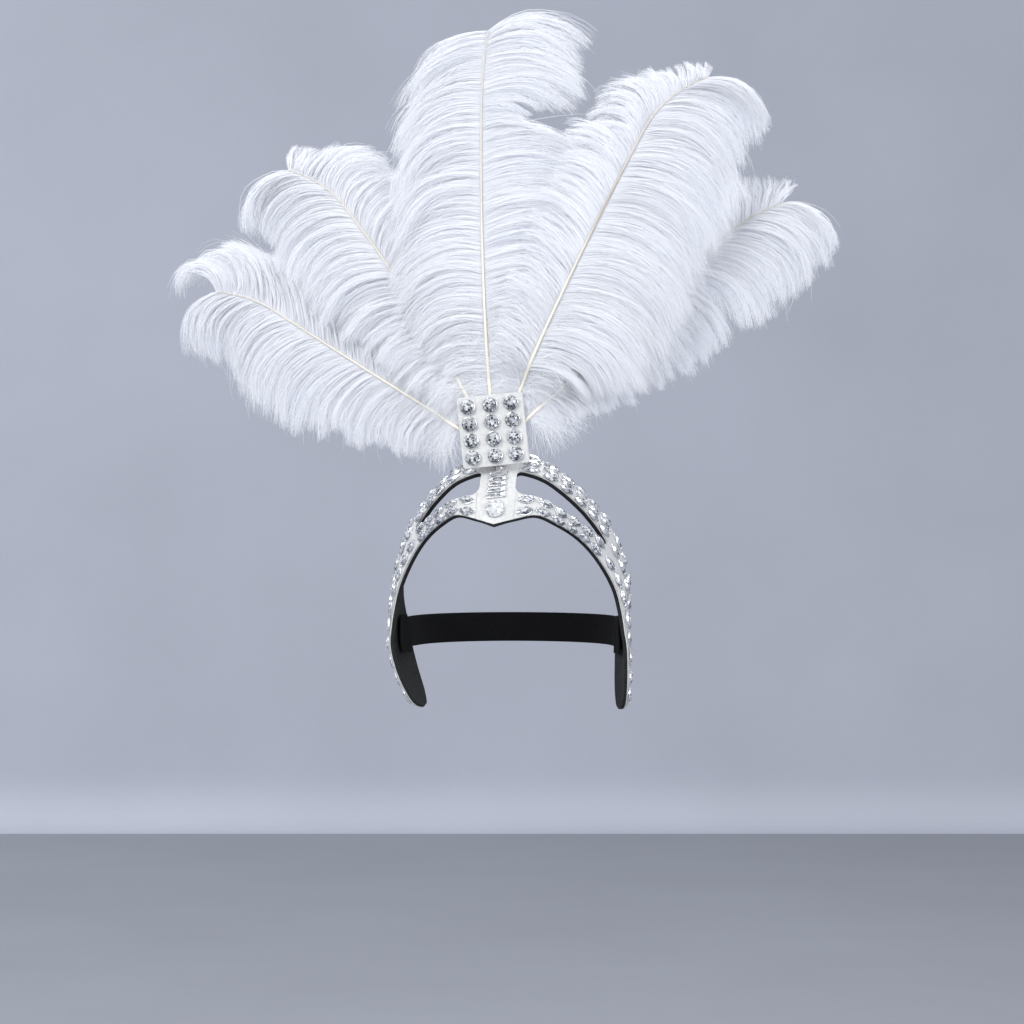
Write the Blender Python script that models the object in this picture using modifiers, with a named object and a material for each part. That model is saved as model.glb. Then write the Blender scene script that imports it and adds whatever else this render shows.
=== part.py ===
"""Feather headband: a foam double arch faced in white, set with clear stones, with a plaque and five plumes.

Metres, +Z up. The face of the wearer looks along -Y. The origin is the middle of the head hollow at the
height of the elastic strap, so it is where a head carries the piece.
"""

import math

import bmesh
import bpy
from mathutils import Matrix, Vector

# Gap between pieces that touch
CLEARANCE = 0.0003
# What lies along the flat facets of a bent wall needs this much more
FACET_EASE = 0.00025

# Arch frame: half width over the arms, reach of the forehead band, top of the rear edge, drop of the arms
HALF_WIDTH = 0.092
FRONT_REACH = 0.088
CROWN_HEIGHT = 0.139
ARM_DROP = 0.059
BULGE = 0.0065
FOAM_THICKNESS = 0.0023
FACING_THICKNESS = 0.001

# The worn frame is not quite even: the upper arch is skewed, and the left arm leans in at its tip
ARCH_SKEW = 0.045
LEFT_ARM_LEAN = 0.017
LEAN_POWER = 1.6

# Stations along the arch, counted in rows of FRAME_SECTIONS from the middle to an arm's tip
STRUT_HALF_WIDTH = 0.0125
OPENING_END_LEFT = 4.4
OPENING_END_RIGHT = 5.1
OPENING_STEPS = 7
ROW_LEAD = 0.12
ARM_ROW_LEAD = 0.15
ARM_ROW_TRAIL = 0.1
SURFACE_STEP = 0.02
ARM_STEPS = 11

# Plaque and what carries it
PLAQUE_WIDTH = 0.051
PLAQUE_HEIGHT = 0.054
PLAQUE_THICKNESS = 0.0015
EDGE_SHARE = 0.25
PLAQUE_X = -0.0037
PLAQUE_RISE = 0.018
PLAQUE_Z = CROWN_HEIGHT + PLAQUE_RISE
PLAQUE_FRONT_Y = -0.067
PLAQUE_ROLL = math.radians(6.0)
PLAQUE_BACK_WIDTH = 0.036
PLAQUE_BACK_HEIGHT = 0.034
PLAQUE_BACK_LOWERED = 0.004
BRACKET_WIDTH = 0.016
BRACKET_HEIGHT = 0.011
BRACKET_RAISED = 0.003
BRACKET_DEPTH = 0.022
BRACKET_CUTTER_DEPTHS = 1.6

# Stones
PLAQUE_STONE_DIAMETER = 0.0118
PLAQUE_STONE_HEIGHT = 0.0042
PLAQUE_STONE_COLUMNS = (-0.0172, 0.0, 0.0160)
PLAQUE_STONE_ROW_PITCH = 0.0129
PLAQUE_STONE_ROWS = 4
CENTRE_STONE_DIAMETER = 0.0145
CENTRE_STONE_HEIGHT = 0.0042
TOP_STONE_DIAMETER = 0.0060
TOP_STONE_HEIGHT = 0.0028
STRUT_STONE_LENGTH = 0.0135
STRUT_STONE_WIDTH = 0.0042
STRUT_STONE_HEIGHT = 0.0026
STRUT_STONE_COUNT = 5
STRUT_TOP_SHARE = 0.036
CENTRE_STONE_SHARE = 0.52
STONE_SIDES = 8
MARQUISE_LENGTH = 0.0128
MARQUISE_WIDTH = 0.0054
MARQUISE_HEIGHT = 0.0022
MARQUISE_PITCH = 0.0140
MARQUISE_TABLE = 0.52
BAGUETTE_TABLE = 0.6
BAGUETTE_GIRDLE = 0.3
SETTING_THICKNESS = 0.0008
SETTING_INSET = 0.0012
STONE_SINK = 0.0004

# Elastic strap
STRAP_WIDTH = 0.0233
STRAP_THICKNESS = 0.0012
STRAP_REACH = 0.097
STRAP_STEPS = 14
STRAP_LEVELS = 3
STRAP_ROUNDNESS = 0.9
PATCH_THICKNESS = 0.0012
PATCH_OVERHANG = 0.002
PATCH_SHARES = (0.34, 0.60, 0.86)

# Plumes: the quills fan from one point behind the plaque
FAN_X = -0.0023
FAN_DROP = 0.015
FAN_Z = PLAQUE_Z - FAN_DROP
QUILL_START = 0.012
QUILL_WIDTH = 0.0026
QUILL_TIP_WIDTH = 0.0009
PLUME_THICKNESS = 0.0030
FAN_RADIUS = 0.340
FAN_LEAN_BACK = 0.018
FAN_CURL = 0.040
LAYER_RAMP = 0.022
LAYER_SPREAD = 2.0
BARE_QUILL = 0.014
DROOP_START = 0.78
UPRIGHT_RELIEF = 0.5
LOCKS = 12
LOCK_CUP = 0.012

# Frame sections from the middle of the arch to an arm's tip. x is in shares of HALF_WIDTH, y of
# FRONT_REACH, z of CROWN_HEIGHT above the origin and of ARM_DROP below it, bulge of BULGE.
FRAME_COLUMNS = ("front_x", "front_y", "front_z", "rear_x", "rear_y", "rear_z", "bulge")
FRAME_SECTIONS = (
    (0.000, -1.000, 0.612, 0.000, -0.410, 1.000, 1.00),
    (0.163, -0.930, 0.640, 0.174, -0.405, 0.986, 1.00),
    (0.333, -0.835, 0.658, 0.353, -0.375, 0.935, 0.92),
    (0.484, -0.693, 0.609, 0.516, -0.295, 0.849, 0.85),
    (0.636, -0.500, 0.532, 0.663, -0.170, 0.745, 0.77),
    (0.766, -0.352, 0.428, 0.821, -0.011, 0.604, 0.69),
    (0.880, -0.239, 0.295, 0.935, 0.125, 0.403, 0.54),
    (0.940, -0.193, 0.180, 0.962, 0.159, 0.216, 0.46),
    (0.989, -0.182, 0.000, 0.913, 0.170, 0.000, 0.46),
    (1.011, -0.170, -0.237, 0.897, 0.182, -0.271, 0.38),
    (1.011, -0.136, -0.610, 0.897, 0.159, -0.712, 0.31),
    (0.995, -0.080, -0.880, 0.915, 0.102, -0.940, 0.15),
    (0.975, -0.034, -0.970, 0.940, 0.045, -1.000, 0.05),
)

# The two openings: how far along from the strut, then their lower and upper edges as shares of the width
OPENING_COLUMNS = ("along", "low", "high")
OPENING_SECTIONS = (
    (0.00, 0.33, 0.66),
    (0.27, 0.27, 0.60),
    (0.51, 0.25, 0.57),
    (0.74, 0.27, 0.52),
    (1.00, 0.37, 0.42),
)

# Rows of marquise stones: where each runs across the front band, the upper arch and the arm
BAND_ROWS = (0.27, 0.76)
ARCH_ROWS = (0.18, 0.50, 0.82)
ARM_ROWS = (0.17, 0.50, 0.83)

# Plumes: heading from upright, positive to the left, and the turns along the quill and at its tip, in
# degrees; length, reach of the barbs to each side, place of the layer and where the quill leaves the plaque
PLUME_COLUMNS = ("name", "heading", "turn", "droop", "length", "left", "right", "layer", "exit")
PLUMES = (
    ("plume_far_left", 61.0, -3.0, 34.0, 0.262, 0.080, 0.084, 0.016, 0.036),
    ("plume_left", 29.0, 12.0, 50.0, 0.277, 0.092, 0.082, 0.008, 0.055),
    ("plume_centre", 8.0, -13.0, -44.0, 0.308, 0.106, 0.120, -0.001, 0.044),
    ("plume_right", -22.0, -9.0, -52.0, 0.325, 0.084, 0.130, -0.009, 0.051),
    ("plume_far_right", -44.0, -4.0, -40.0, 0.308, 0.082, 0.104, 0.008, 0.040),
)

# Vane of a plume: share of the length past the bare quill, reach of the barbs, their angle to the quill in
# degrees and how far they turn down by their ends
VANE_COLUMNS = ("along", "reach", "angle", "sag")
VANE_SECTIONS = (
    (0.00, 0.34, 80.0, 0.60),
    (0.10, 0.62, 76.0, 0.60),
    (0.25, 0.90, 68.0, 0.60),
    (0.50, 1.00, 60.0, 0.60),
    (0.72, 0.96, 54.0, 0.58),
    (0.87, 0.84, 46.0, 0.56),
    (0.95, 0.58, 36.0, 0.50),
    (1.00, 0.36, 16.0, 0.40),
)

# A lock of barbs, by columns: share of its reach, half its width in shares of its pitch, thickness share
LOCK_SECTIONS = (
    (0.40, 0.46, 0.60),
    (0.76, 0.43, 0.45),
    (1.00, 0.20, 0.30),
)

WHITE_FACING = ("white_facing", (0.86, 0.86, 0.85), 0.55, 0.0)
BLACK_FOAM = ("black_foam", (0.012, 0.012, 0.014), 0.90, 0.0)
BLACK_ELASTIC = ("black_elastic", (0.010, 0.010, 0.010), 0.85, 0.0)
CLEAR_STONE = ("clear_stone", (0.80, 0.82, 0.85), 0.08, 0.6)
SILVER_SETTING = ("silver_setting", (0.75, 0.76, 0.78), 0.25, 0.9)
WHITE_FEATHER = ("white_feather", (0.90, 0.91, 0.93), 0.80, 0.0)


def clear_scene():
    for old in list(bpy.data.objects):
        bpy.data.objects.remove(old, do_unlink=True)


def new_collection(name):
    collection = bpy.data.collections.new(name)
    bpy.context.scene.collection.children.link(collection)
    return collection


def material(spec):
    name, colour, roughness, metallic = spec
    found = bpy.data.materials.get(name)
    if found:
        return found
    made = bpy.data.materials.new(name)
    made.use_nodes = True
    shader = made.node_tree.nodes["Principled BSDF"]
    shader.inputs["Base Color"].default_value = (*colour, 1.0)
    shader.inputs["Roughness"].default_value = roughness
    shader.inputs["Metallic"].default_value = metallic
    return made


def add_object(name, mesh, collection, spec):
    made = bpy.data.objects.new(name, mesh)
    collection.objects.link(made)
    mesh.materials.append(material(spec))
    return made


def mesh_from(name, points, faces):
    mesh = bpy.data.meshes.new(name)
    mesh.from_pydata([tuple(point) for point in points], [], faces)
    mesh.update()
    return mesh


def as_guide(guide, collection):
    """A guide shapes another piece and is no part of the object."""
    for owner in list(guide.users_collection):
        owner.objects.unlink(guide)
    collection.objects.link(guide)
    guide.hide_render = True
    guide.display_type = "WIRE"


def solidify(target, thickness, offset):
    wall = target.modifiers.new("wall", "SOLIDIFY")
    wall.thickness = thickness
    wall.offset = offset
    wall.use_even_offset = True
    wall.use_quality_normals = True
    return wall


def smooth_step(share):
    share = min(1.0, max(0.0, share))
    return share * share * (3.0 - 2.0 * share)


def table_value(rows, columns, key, place, column):
    """Read a column between the rows, by straight lines along the key column."""
    at = columns.index(key)
    wanted = columns.index(column)
    if place <= rows[0][at]:
        return rows[0][wanted]
    for low, high in zip(rows, rows[1:]):
        if place <= high[at]:
            share = (place - low[at]) / (high[at] - low[at])
            return low[wanted] + share * (high[wanted] - low[wanted])
    return rows[-1][wanted]


def frame_value(station, column):
    """Smooth value of a frame column. Past the middle the other half is the mirror image."""
    at = FRAME_COLUMNS.index(column)
    values = [row[at] for row in FRAME_SECTIONS]
    if column in ("front_x", "rear_x"):
        before = -values[1]
    elif column == "front_z":
        before = 2.0 * values[0] - values[1]
    else:
        before = values[1]
    after = 2.0 * values[-1] - values[-2]
    values = [before] + values + [after]
    index = min(int(station), len(FRAME_SECTIONS) - 2)
    share = station - index
    p0, p1, p2, p3 = values[index:index + 4]
    return 0.5 * (
        2.0 * p1
        + (p2 - p0) * share
        + (2.0 * p0 - 5.0 * p1 + 4.0 * p2 - p3) * share ** 2
        + (3.0 * p1 - p0 - 3.0 * p2 + p3) * share ** 3
    )


def edge_point(station, edge):
    height = frame_value(station, edge + "_z")
    return Vector((
        frame_value(station, edge + "_x") * HALF_WIDTH,
        frame_value(station, edge + "_y") * FRONT_REACH,
        height * (CROWN_HEIGHT if height > 0.0 else ARM_DROP),
    ))


def bare_point(side, station, across):
    """Point of the frame's middle surface before it is lifted to a face of the foam or the facing."""
    front = edge_point(station, "front")
    rear = edge_point(station, "rear")
    chord = (rear - front).normalized()
    outward = (front + rear) * 0.5
    outward -= chord * outward.dot(chord)
    outward.normalize()
    bulge = frame_value(station, "bulge") * BULGE * 4.0 * across * (1.0 - across)
    point = front.lerp(rear, across) + outward * bulge
    point.x *= side
    if point.z > 0.0:
        point.z += ARCH_SKEW * across * point.x * point.z / CROWN_HEIGHT
    elif side < 0:
        point.x += LEFT_ARM_LEAN * (-point.z / ARM_DROP) ** LEAN_POWER
    return point


def frame_normal(side, station, across):
    step = SURFACE_STEP
    last = len(FRAME_SECTIONS) - 1
    along = (
        bare_point(side, min(last, station + step), across)
        - bare_point(side, max(0.0, station - step), across)
    )
    over = (
        bare_point(side, station, min(1.0, across + step))
        - bare_point(side, station, max(0.0, across - step))
    )
    normal = along.cross(over) * side
    if station == 0.0:
        normal.x = 0.0
    return normal.normalized()


def frame_point(side, station, across, lift=0.0):
    return bare_point(side, station, across) + frame_normal(side, station, across) * lift


def strut_station():
    """Station at which the front edge is as far out as the strut's side."""
    low, high = 0.0, 2.0
    for _ in range(30):
        middle = (low + high) / 2.0
        if frame_value(middle, "front_x") * HALF_WIDTH < STRUT_HALF_WIDTH:
            low = middle
        else:
            high = middle
    return high


def opening_end(side):
    return OPENING_END_LEFT if side < 0 else OPENING_END_RIGHT


def opening_edge(side, station, column):
    start = strut_station()
    along = (station - start) / (opening_end(side) - start)
    return table_value(OPENING_SECTIONS, OPENING_COLUMNS, "along", along, column)


def side_stations(side):
    """Stations of one half, with one on the strut's side and one on the opening's end."""
    start = strut_station()
    end = opening_end(side)
    last = len(FRAME_SECTIONS) - 1
    stations = [0.0]
    stations += [start + (end - start) * step / OPENING_STEPS for step in range(OPENING_STEPS)]
    stations += [end + (last - end) * step / ARM_STEPS for step in range(ARM_STEPS + 1)]
    return stations


def across_lines(side, station):
    """Front edge, lower and upper edge of the opening, middle of the upper arch and rear edge."""
    low = opening_edge(side, station, "low")
    high = opening_edge(side, station, "high")
    return [0.0, low, high, (high + 1.0) / 2.0, 1.0]


def section_points(side, station, lift, inset=0.0):
    """The five points of a section, drawn in from the edges by the inset along the facets."""
    points = [frame_point(side, station, across, lift) for across in across_lines(side, station)]
    if inset == 0.0:
        return points
    moves = ((0, 1), (1, 0), (2, 3), (4, 3))
    moved = list(points)
    for index, toward in moves:
        step = points[toward] - points[index]
        moved[index] = points[index] + step.normalized() * inset
    return moved


def grid_mesh(name, sections, skip):
    """Quads between neighbouring sections. skip names the cells of the openings."""
    points = [point for section in sections for point in section]
    rows = len(sections[0])
    faces = []
    for column in range(len(sections) - 1):
        for row in range(rows - 1):
            if (column, row) in skip:
                continue
            first = column * rows + row
            faces.append((first, first + rows, first + rows + 1, first + 1))
    return mesh_from(name, points, faces)


def frame_mesh(name, lift):
    left = side_stations(-1)
    right = side_stations(1)
    order = [(-1, station) for station in reversed(left)] + [(1, station) for station in right[1:]]
    sections = [section_points(side, station, lift) for side, station in order]
    middle = len(left) - 1
    skip = set()
    for step in range(OPENING_STEPS):
        skip.add((middle + 1 + step, 1))
        skip.add((middle - 2 - step, 1))
    return grid_mesh(name, sections, skip)


def build_frame(parts):
    core = add_object("frame_core", frame_mesh("frame_core", -CLEARANCE), parts, BLACK_FOAM)
    solidify(core, FOAM_THICKNESS, -1.0)
    facing = add_object("frame_facing", frame_mesh("frame_facing", 0.0), parts, WHITE_FACING)
    solidify(facing, FACING_THICKNESS, 1.0)


def ring_mesh(name, rings):
    """Closed body through rings of points, bottom ring first."""
    count = len(rings[0])
    points = [point for ring in rings for point in ring]
    faces = [tuple(reversed(range(count)))]
    for level in range(len(rings) - 1):
        for index in range(count):
            following = (index + 1) % count
            base = level * count
            faces.append((base + index, base + following, base + count + following, base + count + index))
    faces.append(tuple(range((len(rings) - 1) * count, len(rings) * count)))
    return mesh_from(name, points, faces)


def cut_outline(length, width, pointed):
    """Eight-sided outline of a cut stone, pointed for a marquise and cornered for a baguette."""
    half, side = length / 2.0, width / 2.0
    if pointed:
        corners = ((1.0, 0.0), (0.55, 0.70), (0.0, 1.0), (-0.55, 0.70))
    else:
        corners = ((1.0, -0.45), (1.0, 0.45), (0.84, 1.0), (-0.84, 1.0))
    corners += tuple((-x, -y) for x, y in corners)
    return [Vector((x * half, y * side, 0.0)) for x, y in corners]


def stone_rings(outline, bottom, girdle, top, table):
    """Foot, girdle and table of a stone over one outline."""
    rings = [[point + Vector((0.0, 0.0, bottom)) for point in outline]]
    if girdle > bottom:
        rings.append([point + Vector((0.0, 0.0, girdle)) for point in outline])
    rings.append([point * table + Vector((0.0, 0.0, top)) for point in outline])
    return rings


def facet_point(side, station, across, lift):
    """Point on the flat facets of a section, which lie a little under the true curve."""
    lines = across_lines(side, station)
    points = section_points(side, station, lift)
    index = max(i for i in range(len(lines) - 1) if across >= lines[i])
    share = (across - lines[index]) / (lines[index + 1] - lines[index])
    return points[index].lerp(points[index + 1], share)


def surface_matrix(side, station, across, lift):
    """Frame on the surface: x runs along the arch, z stands out from it."""
    origin = facet_point(side, station, across, lift)
    out = frame_normal(side, station, across)
    step = SURFACE_STEP
    along = frame_point(side, station + step, across) - frame_point(side, station, across)
    along = (along - out * along.dot(out)).normalized() * side
    over = out.cross(along)
    rotation = Matrix((along, over, out)).transposed().to_4x4()
    return Matrix.Translation(origin) @ rotation


def row_stations(side, across_at, start, end):
    """Stations of a row of stones at one pitch, as many as fit between its ends."""
    steps = 120
    places = [start + (end - start) * step / steps for step in range(steps + 1)]
    points = [frame_point(side, place, across_at(place)) for place in places]
    lengths = [0.0]
    for first, second in zip(points, points[1:]):
        lengths.append(lengths[-1] + (second - first).length)
    count = int(lengths[-1] / MARQUISE_PITCH)
    found = []
    for index in range(count):
        wanted = (index + 0.5) * lengths[-1] / count
        nearest = min(range(steps + 1), key=lambda step: abs(lengths[step] - wanted))
        found.append(places[nearest])
    return found


def marquise_places(side):
    """Every marquise of one half, as a station and a share across."""
    start = strut_station()
    end = opening_end(side)
    last = side_stations(side)[-2]
    first_arm = end + ARM_ROW_LEAD
    rows = []
    for share in BAND_ROWS:
        rows.append((lambda at, k=share: k * opening_edge(side, at, "low"), start + ROW_LEAD, end))
    for share in ARCH_ROWS:
        rows.append((
            lambda at, k=share: 1.0 - (1.0 - k) * (1.0 - opening_edge(side, at, "high")),
            start + ROW_LEAD,
            end,
        ))
    for share in ARM_ROWS:
        rows.append((lambda at, k=share: k, first_arm, last - ARM_ROW_TRAIL))
    places = []
    for across_at, begin, finish in rows:
        for station in row_stations(side, across_at, begin, finish):
            places.append((station, across_at(station)))
    return places


def marquise_mesh(name, side, lift):
    """All the marquise stones of one half in one mesh, before they join their setting."""
    outline = cut_outline(MARQUISE_LENGTH, MARQUISE_WIDTH, True)
    rings = stone_rings(outline, -STONE_SINK, -STONE_SINK, MARQUISE_HEIGHT, MARQUISE_TABLE)
    whole = bmesh.new()
    for station, across in marquise_places(side):
        stone = ring_mesh(name + "_one", rings)
        stone.transform(surface_matrix(side, station, across, lift))
        whole.from_mesh(stone)
        bpy.data.meshes.remove(stone)
    mesh = bpy.data.meshes.new(name)
    whole.to_mesh(mesh)
    whole.free()
    return mesh


def build_stone_field(name, side, parts, guides):
    """A thin setting over one half of the facing, with its stones fused to it."""
    bottom = FACING_THICKNESS + CLEARANCE + FACET_EASE
    stations = side_stations(side)[1:-1]
    sections = [section_points(side, station, bottom, SETTING_INSET) for station in stations]
    skip = {(step, 1) for step in range(OPENING_STEPS)}
    if side < 0:
        sections.reverse()
        skip = {(len(sections) - 2 - column, row) for column, row in skip}
    setting = add_object(name, grid_mesh(name, sections, skip), parts, SILVER_SETTING)
    solidify(setting, SETTING_THICKNESS, 1.0)
    stones_name = name + "_guide"
    top = bottom + SETTING_THICKNESS
    stones = add_object(stones_name, marquise_mesh(stones_name, side, top), guides, CLEAR_STONE)
    as_guide(stones, guides)
    join = setting.modifiers.new("stones", "BOOLEAN")
    join.operation = "UNION"
    join.solver = "EXACT"
    join.object = stones


def build_round_stone(name, diameter, height, matrix, parts):
    """Round stone turned from its half profile, with eight flats and a table."""
    radius = diameter / 2.0
    profile = ((0.0, 1.0), (0.56, 1.0), (1.0, 0.34), (0.82, 0.0), (0.0, 0.0))
    points = [Vector((share * radius, 0.0, level * height)) for share, level in profile]
    mesh = bpy.data.meshes.new(name)
    mesh.from_pydata(points, [(i, i + 1) for i in range(len(points) - 1)], [])
    stone = add_object(name, mesh, parts, CLEAR_STONE)
    turn = stone.modifiers.new("turn", "SCREW")
    turn.steps = STONE_SIDES
    turn.render_steps = STONE_SIDES
    turn.use_merge_vertices = True
    turn.merge_threshold = 0.00001
    turn.use_smooth_shade = False
    stone.matrix_world = matrix


def plaque_matrix(x, depth, z):
    """Frame on the plaque: local x and y lie in its face, z points to the front."""
    place = Matrix.Translation((PLAQUE_X, depth, PLAQUE_Z)) @ Matrix.Rotation(-PLAQUE_ROLL, 4, "Y")
    face = Matrix.Rotation(math.radians(90.0), 4, "X")
    return place @ face @ Matrix.Translation((x, z, 0.0))


def build_board(name, width, height, x, z, back_y, parts):
    """Rectangular board of the plaque, PLAQUE_THICKNESS thick in front of back_y."""
    shape = bmesh.new()
    bmesh.ops.create_cube(shape, size=1.0)
    bmesh.ops.scale(shape, verts=shape.verts, vec=(width, height, PLAQUE_THICKNESS))
    bmesh.ops.translate(shape, verts=shape.verts, vec=(0.0, 0.0, PLAQUE_THICKNESS / 2.0))
    mesh = bpy.data.meshes.new(name)
    shape.to_mesh(mesh)
    shape.free()
    board = add_object(name, mesh, parts, WHITE_FACING)
    board.matrix_world = plaque_matrix(x, back_y, z)
    return board


def quill_plane():
    return PLAQUE_FRONT_Y + PLAQUE_THICKNESS + CLEARANCE + PLUME_THICKNESS / 2.0


def build_plaque(parts, guides):
    front_back_y = PLAQUE_FRONT_Y + PLAQUE_THICKNESS
    front = build_board("plaque_front", PLAQUE_WIDTH, PLAQUE_HEIGHT, 0.0, 0.0, front_back_y, parts)
    soften = front.modifiers.new("edge", "BEVEL")
    soften.width = PLAQUE_THICKNESS * EDGE_SHARE
    soften.segments = 1
    back_y = quill_plane() + PLUME_THICKNESS / 2.0 + CLEARANCE + PLAQUE_THICKNESS
    raised = (PLAQUE_HEIGHT - PLAQUE_BACK_HEIGHT) / 2.0 - PLAQUE_BACK_LOWERED
    build_board("plaque_back", PLAQUE_BACK_WIDTH, PLAQUE_BACK_HEIGHT, 0.0, raised, back_y, parts)
    for row in range(PLAQUE_STONE_ROWS):
        height = ((PLAQUE_STONE_ROWS - 1) / 2.0 - row) * PLAQUE_STONE_ROW_PITCH
        for column, x in enumerate(PLAQUE_STONE_COLUMNS):
            name = f"plaque_stone_{row + 1}_{column + 1}"
            matrix = plaque_matrix(x, PLAQUE_FRONT_Y - CLEARANCE, height)
            build_round_stone(name, PLAQUE_STONE_DIAMETER, PLAQUE_STONE_HEIGHT, matrix, parts)
    build_bracket(front_back_y + CLEARANCE, parts, guides)


def build_bracket(front_y, parts, guides):
    """Hidden block that carries the plaque: a box cut to lie on the upper arch."""
    bottom = PLAQUE_Z - PLAQUE_HEIGHT / 2.0 + BRACKET_RAISED
    shape = bmesh.new()
    bmesh.ops.create_cube(shape, size=1.0)
    bmesh.ops.scale(shape, verts=shape.verts, vec=(BRACKET_WIDTH, BRACKET_DEPTH, BRACKET_HEIGHT))
    centre = Vector((PLAQUE_X, front_y + BRACKET_DEPTH / 2.0, bottom + BRACKET_HEIGHT / 2.0))
    bmesh.ops.translate(shape, verts=shape.verts, vec=centre)
    mesh = bpy.data.meshes.new("plaque_bracket")
    shape.to_mesh(mesh)
    shape.free()
    bracket = add_object("plaque_bracket", mesh, parts, WHITE_FACING)
    envelope_name = "bracket_guide"
    top = FACING_THICKNESS + CLEARANCE
    envelope = add_object(envelope_name, frame_mesh(envelope_name, top), guides, WHITE_FACING)
    solidify(envelope, BRACKET_DEPTH * BRACKET_CUTTER_DEPTHS, -1.0)
    as_guide(envelope, guides)
    seat = bracket.modifiers.new("seat", "BOOLEAN")
    seat.operation = "DIFFERENCE"
    seat.solver = "EXACT"
    seat.object = envelope


def build_strut_stones(parts):
    """Round centre stone at the V, a column of baguettes on the strut and a small stone above them."""
    lift = FACING_THICKNESS + CLEARANCE
    low = opening_edge(1, 0.0, "low")
    high = opening_edge(1, 0.0, "high")
    centre = surface_matrix(1, 0.0, low * CENTRE_STONE_SHARE, lift)
    build_round_stone("centre_stone", CENTRE_STONE_DIAMETER, CENTRE_STONE_HEIGHT, centre, parts)
    outline = cut_outline(STRUT_STONE_LENGTH, STRUT_STONE_WIDTH, False)
    rings = stone_rings(outline, 0.0, STRUT_STONE_HEIGHT * BAGUETTE_GIRDLE, STRUT_STONE_HEIGHT, BAGUETTE_TABLE)
    for index in range(STRUT_STONE_COUNT):
        across = low + (high - STRUT_TOP_SHARE - low) * index / (STRUT_STONE_COUNT - 1)
        name = f"strut_stone_{index + 1}"
        stone = add_object(name, ring_mesh(name, rings), parts, CLEAR_STONE)
        stone.matrix_world = surface_matrix(1, 0.0, across, lift)
    top = surface_matrix(1, 0.0, high + STRUT_TOP_SHARE, lift)
    build_round_stone("strut_top_stone", TOP_STONE_DIAMETER, TOP_STONE_HEIGHT, top, parts)


def inner_point(side, across, height, depth):
    """Point inside an arm at a height, on its facets, the depth measured from the facing's inner side."""
    stations = [station for station in side_stations(side) if station > opening_end(side)]
    points = [facet_point(side, station, across, -depth) for station in stations]
    for upper, lower in zip(points, points[1:]):
        if lower.z <= height <= upper.z:
            return upper.lerp(lower, (upper.z - height) / (upper.z - lower.z))
    return points[-1]


def strap_edge(height):
    """One edge of the strap: on the inside of both arms and round the back of the head."""
    depth = FOAM_THICKNESS + 2.0 * CLEARANCE + FACET_EASE + STRAP_THICKNESS / 2.0
    ends = {}
    for side in (-1, 1):
        lines = across_lines(side, float(len(FRAME_SECTIONS) - 1))[2:]
        ends[side] = [inner_point(side, across, height, depth) for across in lines]
    right = ends[1][-1]
    left = ends[-1][-1]
    points = list(ends[1])
    for step in range(1, STRAP_STEPS):
        turn = math.pi * step / STRAP_STEPS
        # The half width eases from one arm's to the other's as the band goes round
        half = abs(right.x) * (1.0 + math.cos(turn)) / 2.0 + abs(left.x) * (1.0 - math.cos(turn)) / 2.0
        ahead = right.y * (1.0 + math.cos(turn)) / 2.0 + left.y * (1.0 - math.cos(turn)) / 2.0
        points.append(Vector((
            half * math.cos(turn),
            ahead + (STRAP_REACH - ahead) * math.sin(turn) ** STRAP_ROUNDNESS,
            height,
        )))
    points += list(reversed(ends[-1]))
    return points


def build_strap(parts):
    levels = [STRAP_WIDTH * (0.5 - step / STRAP_LEVELS) for step in range(STRAP_LEVELS + 1)]
    edges = [strap_edge(level) for level in levels]
    sections = [list(section) for section in zip(*edges)]
    strap = add_object("elastic_strap", grid_mesh("elastic_strap", sections, set()), parts, BLACK_ELASTIC)
    solidify(strap, STRAP_THICKNESS, 0.0)


def build_patch(name, side, parts):
    """Patch that holds the strap's end inside an arm."""
    depth = FOAM_THICKNESS + 3.0 * CLEARANCE + 2.0 * FACET_EASE + STRAP_THICKNESS + PATCH_THICKNESS / 2.0
    levels = (STRAP_WIDTH / 2.0 + PATCH_OVERHANG, 0.0, -STRAP_WIDTH / 2.0 - 2.0 * PATCH_OVERHANG)
    sections = []
    for across in PATCH_SHARES:
        sections.append([inner_point(side, across, level, depth) for level in levels])
    patch = add_object(name, grid_mesh(name, sections, set()), parts, BLACK_ELASTIC)
    solidify(patch, PATCH_THICKNESS, 0.0)


def plume_row(index):
    return dict(zip(PLUME_COLUMNS, PLUMES[index]))


def quill_heading(plume, along):
    angle = plume["heading"] + plume["turn"] * along
    angle += plume["droop"] * smooth_step((along - DROOP_START) / (1.0 - DROOP_START))
    return math.radians(angle)


def quill_place(plume, along):
    """Point of the quill in the fan's own plane, as x and height from the fan's root."""
    steps = 60
    x = z = 0.0
    size = plume["length"] * along / steps
    for step in range(steps):
        angle = quill_heading(plume, along * (step + 0.5) / steps)
        x -= math.sin(angle) * size
        z += math.cos(angle) * size
    return Vector((x, 0.0, z))


def fan_point(plume, flat, cup=0.0):
    """Put a point of the fan's plane at its depth: the layers part once the quills leave the plaque."""
    radius = flat.length
    layer = plume["layer"] * smooth_step((radius - plume["exit"]) / LAYER_RAMP)
    beyond = max(0.0, radius - plume["exit"])
    share = beyond / FAN_RADIUS
    depth = FAN_LEAN_BACK * share - FAN_CURL * share ** 3
    spread = 1.0 + LAYER_SPREAD * share
    y = quill_plane() + layer * spread + depth + cup * min(1.0, 2.0 * share)
    return Vector((FAN_X + flat.x, y, FAN_Z + flat.z))


def vane_share(plume, along):
    start = (plume["exit"] + BARE_QUILL) / plume["length"]
    return (along - start) / (1.0 - start)


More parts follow.
